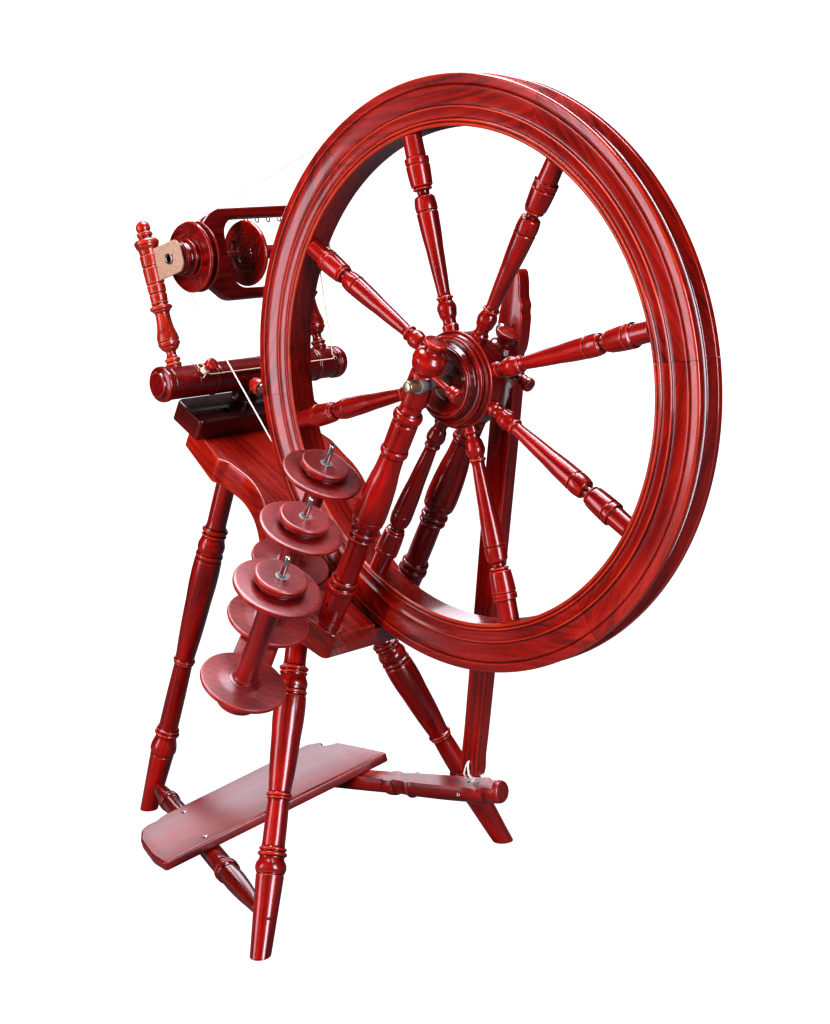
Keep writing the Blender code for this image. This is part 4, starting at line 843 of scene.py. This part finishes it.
maidenSteps = [(16.6, 0), (16.6, 8.4), (19.9, 8.8), (20.4, 8.2, "bead", 0.9), (22.6, 9.0, "bead", 0.9),
               (24.0, 7.9), (25.0, 8.3), (28.8, 8.3, "bead", 0.9), (30.0, 7.0), (33.4, 5.8, "ease"),
               (36.0, 5.8), (41.0, 10.4, "ease"), (45.0, 12.7, "ease"), (47.6, 13.0), (48.4, 12.4),
               (49.2, 12.4), (50.0, 13.0), (62.0, 10.8, "belly", 0.5), (77.0, 8.7, "belly", -0.3),
               (83.0, 8.6), (84.2, 9.4), (86.4, 10.8, "in"), (91.8, 11.0, "bead", 2.5), (93.2, 9.8),
               (94.4, 10.0), (96.0, 10.0, "bead", 0.5), (97.4, 9.9), (105.0, 10.4), (105.9, 9.8),
               (106.9, 9.8), (107.8, 10.5), (116.3, 10.8), (117.2, 10.1), (118.2, 10.1), (119.1, 10.9),
               (137.0, 11.4), (137.9, 10.7), (138.9, 10.7), (139.8, 11.5), (152.0, 11.7), (153.2, 10.8),
               (154.6, 10.9), (158.0, 11.2), (163.2, 13.6, "ease"), (164.6, 13.8),
               (169.4, 13.8, "bead", 1.0), (170.6, 12.2, "out"), (172.6, 8.2, "ease"), (174.2, 8.0),
               (175.2, 8.6), (179.4, 8.6, "bead", 0.9), (180.6, 7.4), (181.8, 7.6), (185.6, 8.6, "in"),
               (193.8, 0, "out")]
maidenLine = lineOf(maidenSteps, 2.6)
plateLoop = smoothLoop([(-9, -19), (53, -19), (59.5, -12), (59.5, 12), (53, 19), (-9, 19)], 1.0, 8)
for end, y in maidens.items():
    base = moa + back * y * mm
    points, faces = latheGrid(maidenLine, base, maidenUp, 56)
    solid("maiden" + end.title(), points, faces, "stand",
          maidenWood if end == "front" else redWood, base, maidenUp, "maiden_" + end)
    points, faces = slabGrid(plateLoop, base + maidenUp * 138.4 * mm - back * 1.5 * mm, maidenOut, maidenUp,
                             back, 3.0, 0.7)
    radius = {"front": 6.5, "rear": 4.3}[end]
    carve = (cutterRod(flyerCentre + back * (y - 9) * mm, flyerCentre + back * (y + 9) * mm, radius),)
    solid("leather" + end.title(), points, faces, "stand", hide, base, maidenOut,
          "leather_" + end, carve=carve)
print("mother-of-all and maidens made")

tubeFront = -35.0
shaftSteps = [(tubeFront + 22, 0), (tubeFront + 22, 3.6), (tubeFront + 0.6, 3.6), (tubeFront, 4.2),
              (tubeFront, 6.0), (tubeFront + 0.5, 6.5), (tubeFront + 1.4, 6.4), (tubeFront + 1.7, 6.1),
              (tubeFront + 7.6, 6.1), (tubeFront + 8.4, 5.0), (195.4, 5.0), (196.2, 4.0), (205.4, 4.0),
              (206.0, 3.4), (206.0, 0)]
points, faces = latheGrid(lineOf(shaftSteps, 8, soften=1), flyerCentre, back, 48)
solid("flyerShaft", points, faces, "flyer", chromed, flyerCentre, back, "flyer_shaft")
whorl = 2.5
whorlSteps = [(-26.0, 5.3), (-26.0, 16.0), (-25.4, 18.6, "in"), (-24.0, 19.4), (-22.6, 19.8, "bead", 0.8),
              (-20.6, 20.2), (-19.6, 18.6, "ease"), (-17.6, 17.6), (-15.6, 18.2), (-13.8, 21.2, "ease"),
              (-11.2, 21.6, "bead", 0.9), (-9.8, 20.2), (-8.8, 19.0), (-7.9, 19.0), (-7.4, 22.0),
              (-7.0, 24.0), (-6.6, 24.6), (-6.9, 26.0), (-6.9, 38.4), (-6.2, 40.4, "in"), (-5.0, 41.3),
              (-3.7, 41.2, "bead", 0.2), (-1.4, 35.2), (1.4, 35.2), (3.7, 41.2), (5.4, 41.3, "bead", 0.2),
              (6.6, 40.0, "out"), (7.0, 38.0), (7.1, 20), (7.1, 5.3), (-26.0, 5.3)]
points, faces = latheGrid(lineOf(whorlSteps, 2.0, soften=1)[:-1], flyerCentre + back * whorl * mm, back, 88,
                          bored=True)
holeAt = flyerCentre + np.array((0.030, 0, -0.008))
carve = (cutterRod(holeAt - back * 0.012, holeAt + back * 0.004, 1.7, 24),)
solid("flyerWhorl", points, faces, "flyer", darkWood, flyerCentre, (1, 0, 0.4), "flyer_whorl",
      carve=carve)

lift = math.radians(12)
flyerUp = np.array((-math.sin(lift), 0, math.cos(lift)))
flyerSide = np.array((math.cos(lift), 0, math.sin(lift)))
flyer = {"front": 10.0, "armIn": 42.0, "armOut": 54.5, "tip": 176.5, "throat": 48.0, "thick": 14.0}


def flyerLoop():
    # a U along the shaft, (along, up) mm: sloping shoulders, parallel arms with round tips, round throat
    f = flyer
    armMiddle, half = (f["armIn"] + f["armOut"]) / 2, (f["armOut"] - f["armIn"]) / 2
    upper = [(f["front"], 26), (f["front"] + 3, 33), (34, f["armOut"] - 2.5), (43, f["armOut"])]
    upper += arcPoints((f["tip"] - half, armMiddle), half, 90, -90, 12) + [(78, f["armIn"])]
    upper += arcPoints((70, 22), 20, 100, 180, 10)
    lower = [(a, -b) for a, b in reversed(upper)]
    return smoothLoop(upper + lower, 1.2, 10)


points, faces = slabGrid(flyerLoop(), flyerCentre - flyerSide * 7 * mm, back, flyerUp, flyerSide,
                         flyer["thick"], 2.6)
carve = (cutterRod(flyerCentre, flyerCentre + back * 0.09, 5.3),)
solid("flyerFrame", points, faces, "flyer", darkWood, flyerCentre, back, "flyer", carve=carve)


def hookPath(root, way, along):
    # a cup hook: straight stem, then three quarters of a circle in the plane of way and along
    stem = [root, root + way * 3.2 * mm]
    a = np.radians(np.linspace(180, -95, 18))
    bend = root + (way * 3.2 + along * 2.6) * mm
    bend = bend + (np.outer(np.cos(a) * 2.6, along) + np.outer(np.sin(a) * 3.2, way)) * mm
    return np.concatenate([stem, bend[1:]])


hookNodes = {0: "hook_1", 1: "hook_2", 2: "hook_3", 5: "hook_4"}
hooks = [(1, y) for y in (89.5, 106.7, 124.2, 141.5, 158.8)] + [(-1, y) for y in (106.0, 123.2, 140.4, 157.6)]
for i, (side, y) in enumerate(hooks):
    root = flyerCentre + back * y * mm + flyerUp * side * (flyer["armIn"] + 0.8) * mm
    points, faces = tubeGrid(hookPath(root, -flyerUp * side, back), 0.75 * mm, 10, flat=flyerSide)
    node = hookNodes.get(i, ())
    solid("hook%d" % (i + 1), points, faces, "flyer", hookSteel, root, back, node, sharp=60)


def bobbinLine(length, flange, core, whorlRadius, whorlHigh, bore):
    # flange with a rolled edge and a sunk face, waisted barrel, second flange, brake whorl with a groove
    long, wide, w, h = length, flange, whorlRadius, whorlHigh
    steps = [(0.6, bore), (0.6, core + 3), (0, core + 4.5), (0, wide * 0.55), (0.5, wide * 0.57),
             (0.5, wide * 0.60), (0, wide * 0.62), (0, wide - 2.4), (0.5, wide - 0.8, "in"), (2.0, wide),
             (4.2, wide - 0.2, "bead", 0.1), (5.2, wide - 1.6, "out"), (5.8, wide * 0.6), (7.0, core + 5.0),
             (9.0, core + 1.2, "ease"), (13.0, core, "ease"), (long - 13.0, core, "belly", -0.6),
             (long - 9.0, core + 1.2, "ease"), (long - 7.0, core + 5.0), (long - 5.8, wide * 0.6),
             (long - 5.2, wide - 1.6), (long - 4.2, wide - 0.2, "in"), (long - 2.0, wide, "bead", 0.1),
             (long - 0.5, wide - 0.8, "out"), (long, wide - 2.4), (long + 0.5, wide * 0.7, "belly", 0.0),
             (long + 0.6, w - 2.0), (long + 0.8, w - 4.4), (long + h * 0.30, w - 4.8, "bead", -0.3),
             (long + h * 0.42, w - 1.2, "ease"), (long + h * 0.5, w), (long + h * 0.9, w, "bead", 0.2),
             (long + h - 0.4, w - 0.8), (long + h, w - 2.0), (long + h, core * 0.62),
             (long + h - 1.2, core * 0.55), (long + h - 1.2, bore), (0.6, bore)]
    return lineOf(steps, 3.0, soften=1)[:-1]


bobbin = {"length": 99.0, "flange": 39.4, "core": 9.0, "whorlRadius": 22.0, "whorlHigh": 9.0, "bore": 5.3}
bobbinFront = 79.0
base = flyerCentre + back * bobbinFront * mm
points, faces = latheGrid(bobbinLine(**bobbin), base, back, 80, bored=True)
carve = [cutterRod(base + np.array(v) * mm - back * 0.01, base + np.array(v) * mm + back * 0.012, 2.3, 24)
         for v in ((16.0, 0, -17.0), (-19.0, 0, 13.0))]
solid("flyerBobbin", points, faces, "bobbin", redWood, base, back, "bobbin", carve=carve)
print("flyer made")

kate = {"length": 122.4, "flange": 43.2, "core": 11.0, "whorlRadius": 26.0, "whorlHigh": 12.7, "bore": 3.5}
kateAt = [jointPoint("kate_bobbin_%d_spin" % (i + 1)) for i in range(3)]
kateWay, kateLine = unit(kateAt[1] - kateAt[0]), bobbinLine(**kate)
kateAcross = np.cross(square, kateWay)
span = np.linalg.norm(kateAt[2] - kateAt[0]) / mm
loop = smoothLoop(arcPoints((-6, 0), 20, 90, 270, 20) + arcPoints((span + 3, 0), 20.5, -90, 90, 20), 1.5, 3)
points, faces = slabGrid(loop, kateAt[0] - square * 20 * mm, kateWay, kateAcross, square, 20.0, 3.0, 2.0)
solid("kateArm", points, faces, "stand", satinWood, kateAt[0], kateWay, "kate_arm")
for i, foot in enumerate(kateAt):
    rodSteps = [(0.3, 0), (0.3, 3.2), (156.6, 3.2), (157.6, 2.4), (157.6, 0)]
    points, faces = latheGrid(lineOf(rodSteps, 10), foot, square, 32)
    solid("kateRod%d" % (i + 1), points, faces, "stand", steel, foot, square,
          "kate_rod_%d" % (i + 1))
    points, faces = latheGrid(kateLine, foot + square * 0.6 * mm, square, 84, bored=True)
    solid("kateBobbin%d" % (i + 1), points, faces, "kate_bobbin_%d" % (i + 1), satinWood,
          foot, square, "kate_bobbin_%d" % (i + 1))
    top = kate["length"] + kate["whorlHigh"] - 1.4
    bushLine = lineOf([(top, 3.5), (top, 6.4), (top + 0.6, 6.7, "in"), (top + 1.9, 6.4, "out"),
                       (top + 2.2, 3.5), (top, 3.5)], 1.5)[:-1]
    points, faces = latheGrid(bushLine, foot, square, 36, bored=True)
    solid("kateBush%d" % (i + 1), points, faces, "kate_bobbin_%d" % (i + 1), bush, foot,
          square)
print("lazy kate made")

span = np.linalg.norm(pivotB - pivotA) / mm - treadle["reachA"] - treadle["reachB"]
f = span
pivotSteps = [(-12, 0), (-12, 4), (0, 4), (0, 6.0), (1.2, 6.8, "in"), (f * 0.10, 10.4, "belly", 0.8),
              (f * 0.115, 10.8), (f * 0.118, 12.0), (f * 0.135, 12.4, "bead", 1.2),
              (f * 0.15, 12.2, "bead", 0.9), (f * 0.155, 11.2), (f * 0.17, 11.4), (f * 0.25, 12.2),
              (f * 0.66, 12.2), (f * 0.695, 12.0), (f * 0.70, 11.2), (f * 0.708, 11.4), (f * 0.712, 13.0),
              (f * 0.728, 13.2, "bead", 1.4), (f * 0.745, 12.8, "bead", 1.2), (f * 0.75, 11.6),
              (f * 0.76, 12.2, "ease"), (f * 0.80, 12.4), (f * 0.95, 8.4, "belly", 0.6), (f - 1.2, 7.0),
              (f, 6.0, "out"), (f, 4), (f + 17, 4), (f + 17, 0)]
pivotStart = pivotA + along * treadle["reachA"] * mm
points, faces = latheGrid(lineOf(pivotSteps, 4), pivotStart, along, 56)
solid("treadlePivot", points, faces, "treadle", darkWood, pivotStart, along, "treadle_pivot")


def onTreadle(a, b, c):
    return pivotA + (along * a + forward * b + upward * c) * mm


stretch = np.linalg.norm(pivotB - pivotA) / 0.4806
boardCorners = [(303, -60), (262, 238), (216, 222), (172, 206), (170, 197), (165, 190), (159, 188),
                (154, 192), (149, 192), (146, 184), (139, 176), (146, 130), (170, -18), (171, -28),
                (179, -36), (179, -48), (187, -58), (215, -66), (270, -66)]
loop = smoothLoop([(a * stretch, b) for a, b in boardCorners], 1.5, 8)
points, faces = slabGrid(loop, onTreadle(0, 0, treadle["rise"]), along, forward, upward, treadle["thick"],
                         3.2, 2.0)
solid("treadleBoard", points, faces, "treadle", satinWood, onTreadle(0, 0, -40), forward,
      "treadle_board")


def screw(name, foot, up, radius, body, replaces=()):
    # a raised head with one slot
    line = lineOf([(0, 0), (0, radius), (0.4, radius), (1.5, 0, "out")], 0.8)
    points, faces = latheGrid(line, foot, up, 32)
    u, v, w = axes(up)
    carve = (cutterBox(foot + up * 1.7 * mm, u, v, w, (radius * 1.3, 0.45, 0.8)),)
    solid(name, points, faces, body, steel, foot, up, replaces, carve=carve)


for i, a in enumerate((188, 282)):
    screw("boardScrew%d" % (i + 1), onTreadle(a * stretch, -3, treadle["rise"] + treadle["thick"]), upward,
          3.8, "treadle", "board_screw_%d" % (i + 1))
leverStart, leverEnd = onTreadle(150 * stretch, 138, 3.6), onTreadle(447 * stretch, 303, 3.6)
leverDir, f = unit(leverEnd - leverStart), np.linalg.norm(leverEnd - leverStart) / mm
leverSteps = [(0, 0), (0, 9.0), (2.5, 11.2, "in"), (f * 0.50, 12.8, "belly", 0.3), (f * 0.503, 13.8),
              (f * 0.54, 14.0, "bead", 1.0), (f * 0.545, 12.4), (f * 0.56, 12.6), (f * 0.60, 13.6),
              (f * 0.603, 14.6), (f * 0.615, 14.8, "bead", 1.2), (f * 0.63, 13.8), (f * 0.64, 14.0),
              (f * 0.86, 14.6, "belly", 0.4), (f * 0.87, 15.0), (f * 0.91, 16.6, "ease"),
              (f * 0.93, 15.4, "belly", 0.8), (f * 0.938, 13.0), (f * 0.945, 12.2), (f * 0.955, 12.8, "in"),
              (f - 3, 12.6, "bead", 0.8), (f, 8.0, "out"), (f, 0)]
points, faces = latheGrid(lineOf(leverSteps, 4), leverStart, leverDir, 56)
leverSide = unit(np.cross(leverDir, upward))
leverSide = leverSide if leverSide[1] < 0 else -leverSide
flatTop = leverStart + leverDir * f * 0.46 * mm + upward * 29 * mm
carve = [cutterBox(flatTop, leverDir, leverSide, upward, (f * 0.46 + 20, 40, 20))]
for share in (0.862, 0.902):
    tieHole = leverStart + leverDir * f * share * mm
    carve.append(cutterRod(tieHole + upward * 2 * mm, tieHole + upward * 20 * mm, 1.6, 20))
solid("treadleLever", points, faces, "treadle", satinWood, leverStart, leverDir,
      "treadle_lever", carve=carve)
screw("leverScrew", leverStart + leverDir * f * 0.84 * mm + leverSide * 14.5 * mm, leverSide, 2.8,
      "treadle", "lever_screw")
plugAt = pivotB + along * 12.2 * mm
points, faces = latheGrid(lineOf([(-2, 0), (-2, 4.0), (0.4, 4.0), (1.2, 0, "out")], 1.5), plugAt, along, 28)
solid("pivotPlug", points, faces, "stand", darkCore, plugAt, along)
print("treadle made")

footman = {"y": 80.3, "thick": 17.0, "share": 0.883}
tieAt = leverStart + leverDir * f * footman["share"] * mm + upward * 9.3 * mm
barLow = np.array((tieAt[0], wheelCentre[1] + footman["y"] * mm, tieAt[2] + 0.011))
barHigh = np.array((pin[0], wheelCentre[1] + footman["y"] * mm, pin[2]))
barUp, f = unit(barHigh - barLow), np.linalg.norm(barHigh - barLow) / mm
barSide = np.array((barUp[2], 0, -barUp[0]))
shape = [(0, -11), (0, 11), (0.02, 12.6), (0.05, 11.2), (0.10, 12.0), (0.30, 13.2), (0.55, 14.6),
         (0.80, 15), (0.92, 14.4), (0.935, 11.4), (0.95, 11.6), (0.962, 15.0), (0.985, 16.4), (1.03, 16.4),
         (1.04, 14), (1.052, 15.8), (1.068, 11), (1.10, 9.0), (1.122, 5.5), (1.125, -1.5), (1.10, -6),
         (1.07, -10.5), (1.04, -14.6), (1.0, -16.4), (0.965, -16.0), (0.95, -13.4), (0.93, -15.4),
         (0.80, -15.2), (0.55, -14.4), (0.30, -12.8), (0.10, -12.0), (0.04, -12.8)]
loop = smoothLoop([(a * f, b) for a, b in shape], 1.3, 5)
points, faces = slabGrid(loop, barLow, barUp, barSide, back, footman["thick"], 1.8)
holeUp = barLow + barUp * 0.016
carve = (cutterRod(holeUp - back * 0.01, holeUp + back * 0.03, 1.8, 20),)
solid("footmanBar", points, faces, "footman", redWood, barLow, barUp, "footman", carve=carve)


def throughPoints(knots, spacing=0.8):
    # a smooth path through knots (Catmull-Rom), a point each spacing mm
    p = np.asarray(knots, float)
    p = np.concatenate([[2 * p[0] - p[1]], p, [2 * p[-1] - p[-2]]])
    out = []
    for a, b, c, d in zip(p, p[1:], p[2:], p[3:]):
        n = max(2, int(np.linalg.norm(c - b) / (spacing * mm)))
        t = np.linspace(0, 1, n, endpoint=False)[:, None]
        curve, swing = 2 * a - 5 * b + 4 * c - d, 3 * b - a - 3 * c + d
        out.append(0.5 * (2 * b + (c - a) * t + curve * t ** 2 + swing * t ** 3))
    return np.concatenate(out + [p[-2:-1]])


def cord(name, path, radius, body, material, replaces=(), loop=False, twist=150.0, flat=None):
    points, faces = tubeGrid(path, radius * mm, 12, loop, flat, twist, 3, 0.09)
    solid(name, points, faces, body, material, path[0], (0, 0, 1), replaces, sharp=70)


frontY = wheelCentre[1] + (footman["y"] - 1.2) * mm
rearY = wheelCentre[1] + (footman["y"] + footman["thick"] + 1.2) * mm


def tiePoint(x, y, z):
    return np.array((tieAt[0] + x * mm, y, tieAt[2] + z * mm))


middleY = (frontY + rearY) / 2
cord("footmanTieLeft", throughPoints([tiePoint(-4.5, middleY - 0.003, 4.2),
                                      tiePoint(-4.5, frontY + 0.003, 8), tiePoint(-3, frontY - 0.0004, 14),
                                      np.array((holeUp[0], frontY, holeUp[2])),
                                      np.array((holeUp[0], middleY, holeUp[2]))]), 1.3, "footman",
     cotton, "footman_tie")
cord("footmanTieRight", throughPoints([tiePoint(4.5, middleY - 0.003, 4.2), tiePoint(5, frontY + 0.003, 8),
                                       tiePoint(4, frontY - 0.0006, 14),
                                       np.array((holeUp[0] + 0.001, frontY - 0.0006, holeUp[2])),
                                       np.array((holeUp[0], middleY, holeUp[2]))]), 1.3, "footman",
     cotton)
cord("footmanTieBack", throughPoints([tiePoint(-3, middleY + 0.003, 3.6), tiePoint(-4, rearY - 0.003, 9),
                                      tiePoint(0, rearY, 18), np.array((holeUp[0], middleY, holeUp[2]))]),
     1.3, "footman", cotton)
cord("footmanTieMiddle", throughPoints([tiePoint(0, middleY, 1.6), tiePoint(1, middleY, 6),
                                        tiePoint(0.5, middleY, 11.5)]), 2.0, "footman", cotton)
print("footman made")

band = {"radius": 0.95, "lift": 0.3, "whorlGroove": 35.0}
bandOut = band["radius"] + band["lift"]
bigRadius, smallRadius = rim["radius"] - rim["groove"] + bandOut, band["whorlGroove"] + bandOut
gap = flyerCentre - wheelCentre
base = math.atan2(gap[2], gap[0])
spread = math.acos((bigRadius - smallRadius) * mm / math.hypot(gap[0], gap[2]))
a = np.linspace(base + spread, base + 2 * math.pi - spread, 1400)
big = wheelCentre + np.stack([np.cos(a), 0 * a, np.sin(a)], 1) * bigRadius * mm
a = np.linspace(base - spread, base + spread, 90)
small = flyerCentre + np.stack([np.cos(a), 0 * a, np.sin(a)], 1) * smallRadius * mm + back * whorl * mm
t = np.linspace(0, 1, 402)[1:-1, None]
path = np.concatenate([big, big[-1] + (small[0] - big[-1]) * t, small, small[-1] + (big[0] - small[-1]) * t])
cord("driveBand", path, band["radius"], "stand", cotton, "drive_band", True, 110.0, back)

brake = {"groove": 19.1, "y": 179.4, "hookY": 200.0, "hookTurn": 17.0, "startY": 2.7}
hookTurn = math.radians(brake["hookTurn"])
hookOut = np.array((math.cos(hookTurn), 0, math.sin(hookTurn)))
hookAt = moa + back * brake["hookY"] * mm + hookOut * 22.9 * mm
start = moa + (back * brake["startY"] + np.array((20.7, 0, 7))) * mm
a = np.radians(np.linspace(0, 180, 60))
overWhorl = flyerCentre + (np.stack([np.cos(a), 0 * a, np.sin(a)],
                                    1) * brake["groove"] + back * brake["y"]) * mm
rearEnd = moa + back * brake["y"] * mm + np.array((-0.008, 0, 0.0215))
t = np.linspace(0, 1, 240)[:-1, None]
low = hookAt - back * 0.005
path = np.concatenate([start + (low - start) * t, throughPoints([low, hookAt + np.array((0, -0.001, 0.002)),
                       hookAt + np.array((0.0, -0.004, 0.006))])])
rise = path[-1]
t = np.linspace(0, 1, 150)[1:-1, None]
lowered = overWhorl[-1] + (rearEnd - overWhorl[-1]) * t
path = np.concatenate([path, rise + (overWhorl[0] - rise) * t, overWhorl, lowered])
cord("brakeCord", path, 0.8, "stand", string, "brake_cord", twist=260.0,
     flat=unit((0.31, 0.43, 0.85)))
hookBase = moa + back * brake["hookY"] * mm + hookOut * 19.0 * mm
hookSide = np.cross(hookOut, back)
a = np.radians(np.linspace(-150, 140, 24))
ring = hookBase + np.outer(4.6 + 2.2 * np.cos(a), hookOut) * mm + np.outer(2.4 * np.sin(a), hookSide) * mm
points, faces = tubeGrid(np.concatenate([[hookBase, hookBase + hookOut * 0.0014], ring]), 0.6 * mm, 10,
                         flat=back)
solid("brakeHook", points, faces, "stand", hookSteel, hookBase, hookOut, "brake_hook", sharp=60)

brakeAt, brakeWay = jointPoint("brake_turn"), unit(joints["brake_turn"]["axis"])
surface = moa + back * (brakeAt - moa)[1] + brakeWay * 20.1 * mm
points, faces = latheGrid(lineOf([(0, 0), (0, 2.7), (13, 2.9), (14.2, 4.2), (15.6, 5.2), (17, 6.6, "ease"),
                                  (19, 7.6), (23.6, 7.5, "belly", 0.3), (25.6, 5.4, "out"),
                                  (26, 0, "line")], 2), surface, brakeWay, 40)
solid("brakePeg", points, faces, "brake_peg", redWood, surface, brakeWay, "brake_peg")
u, v, w = axes(brakeWay)
a = np.linspace(0, 2 * np.pi * 4.3, 190)
helix = surface + np.outer(4 + a / (2 * np.pi) * 1.9, w) * mm
helix = helix + (np.outer(np.cos(a), u) + np.outer(np.sin(a), v)) * 3.8 * mm
cord("brakeKnot", helix, 0.85, "brake_peg", string, twist=260.0)
slack = start + np.array([(0, 0, 0), (-0.5, -6, 3), (-2, -13, 7.5), (-5.5, -15, 12), (-5.5, -10, 13),
                          (-1.5, -5, 8), (1.2, -9, 1), (1.5, -13, -3)]) * mm
cord("brakeLoop", throughPoints(slack), 0.8, "stand", string, twist=260.0)
knobAt, knobWay = jointPoint("tension_turn"), unit(joints["tension_turn"]["axis"])
surface = moa + back * (knobAt - moa)[1] + knobWay * 20.2 * mm
points, faces = latheGrid(lineOf([(0, 0), (0, 3.0), (5.4, 3.1), (6.0, 6.0), (7.0, 8.8, "in"),
                                  (12.4, 10.4, "belly", 0.2), (18.6, 9.3, "belly", 0.4), (19.4, 8.4),
                                  (19.4, 0)], 2.0), surface, knobWay, 44)
solid("tensionKnob", points, faces, "tension_knob", redKnob, surface, knobWay, "tension_knob")
points, faces = latheGrid(lineOf([(18.9, 0), (18.9, 6.4), (20.0, 6.4), (21.9, 4.6, "out"), (22.1, 0)], 1.2),
                          surface, knobWay, 32)
solid("tensionCap", points, faces, "tension_knob", steel, surface, knobWay)
print("cords made")

def softbox(name, position, aim, width, height, power, colour):
    light = bpy.data.lights.new(name, "AREA")
    light.shape, light.size, light.size_y = "RECTANGLE", width, height
    light.energy, light.color = power, colour
    obj = bpy.data.objects.new(name, light)
    w = unit(np.array(position) - np.array(aim))
    u = unit(np.cross(upright, w))
    v = np.cross(w, u)
    m = Matrix.Identity(4)
    for row in range(3):
        m[row][0], m[row][1], m[row][2], m[row][3] = u[row], v[row], w[row], position[row]
    obj.matrix_world = m
    scene.collection.objects.link(obj)
    return obj


middle = wheelCentre + np.array((-0.15, 0, -0.15))
acrossView = np.array((math.cos(turn), math.sin(turn), 0))
toward = np.array((math.sin(turn), -math.cos(turn), 0))


def around(sidewaysBy, towardBy, high):
    return middle + acrossView * sidewaysBy + toward * towardBy + upright * high


key = softbox("keyBox", around(-2.0, 2.0, 0.9), middle, 1.2, 2.2, 150, (1.0, 0.96, 0.93))
key.visible_glossy = False      # lights the colour of the wood without a white streak
softbox("leftGlow", around(-2.7, 0.9, 0.3), middle, 0.9, 2.2, 26, (0.96, 0.9, 1.0))
softbox("rightWindow", around(1.75, 2.4, 0.2), middle, 1.0, 2.6, 100, (0.94, 0.87, 1.0))
softbox("topBox", around(0.2, -0.3, 2.3), middle, 2.0, 1.4, 105, (0.95, 0.9, 1.0))
softbox("backBox", around(-0.3, -2.8, 0.9), middle, 2.6, 1.1, 22, (0.96, 0.92, 1.0))

world = bpy.data.worlds.new("studio")
scene.world = world
world.use_nodes = True
nodes, link = world.node_tree.nodes, world.node_tree.links.new
surroundings = nodes["Background"]
surroundings.inputs["Color"].default_value = (0.9, 0.9, 0.95, 1)
surroundings.inputs["Strength"].default_value = 0.03
backdrop = nodes.new("ShaderNodeBackground")
backdrop.inputs["Color"].default_value = (1, 1, 1, 1)
backdrop.inputs["Strength"].default_value = 1.15
seen = nodes.new("ShaderNodeLightPath")
choose = nodes.new("ShaderNodeMixShader")
link(seen.outputs["Is Camera Ray"], choose.inputs["Fac"])
link(surroundings.outputs["Background"], choose.inputs[1])
link(backdrop.outputs["Background"], choose.inputs[2])
link(choose.outputs["Shader"], nodes["World Output"].inputs["Surface"])
scene.view_settings.view_transform = "Standard"
scene.view_settings.look = "Medium High Contrast"

floorMesh = bpy.data.meshes.new("floor")
size = 4.0
floorMesh.from_pydata([(-size, -size, 0), (size, -size, 0), (size, size, 0), (-size, size, 0)], [],
                      [(0, 1, 2, 3)])
floor = bpy.data.objects.new("floor", floorMesh)
scene.collection.objects.link(floor)
floorLook = bpy.data.materials.new("paleFloor")
floorLook.use_nodes = True
nodes, link = floorLook.node_tree.nodes, floorLook.node_tree.links.new
floorShader = nodes["Principled BSDF"]
floorShader.inputs["Base Color"].default_value = (0.06, 0.06, 0.065, 1)
floorShader.inputs["Roughness"].default_value = 0.9
glow = nodes.new("ShaderNodeEmission")
glow.inputs["Strength"].default_value = 1.1
seen = nodes.new("ShaderNodeLightPath")
share = nodes.new("ShaderNodeMath")
share.operation = "MULTIPLY"
share.inputs[1].default_value = 0.965
choose = nodes.new("ShaderNodeMixShader")
link(seen.outputs["Is Camera Ray"], share.inputs[0])
link(share.outputs["Value"], choose.inputs["Fac"])
link(floorShader.outputs["BSDF"], choose.inputs[1])
link(glow.outputs["Emission"], choose.inputs[2])
link(choose.outputs["Shader"], nodes["Material Output"].inputs["Surface"])
floorMesh.materials.append(floorLook)
floor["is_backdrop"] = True
for obj in cutters:
    mesh = obj.data
    bpy.data.objects.remove(obj)
    bpy.data.meshes.remove(mesh)
print("light and floor set")
low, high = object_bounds()
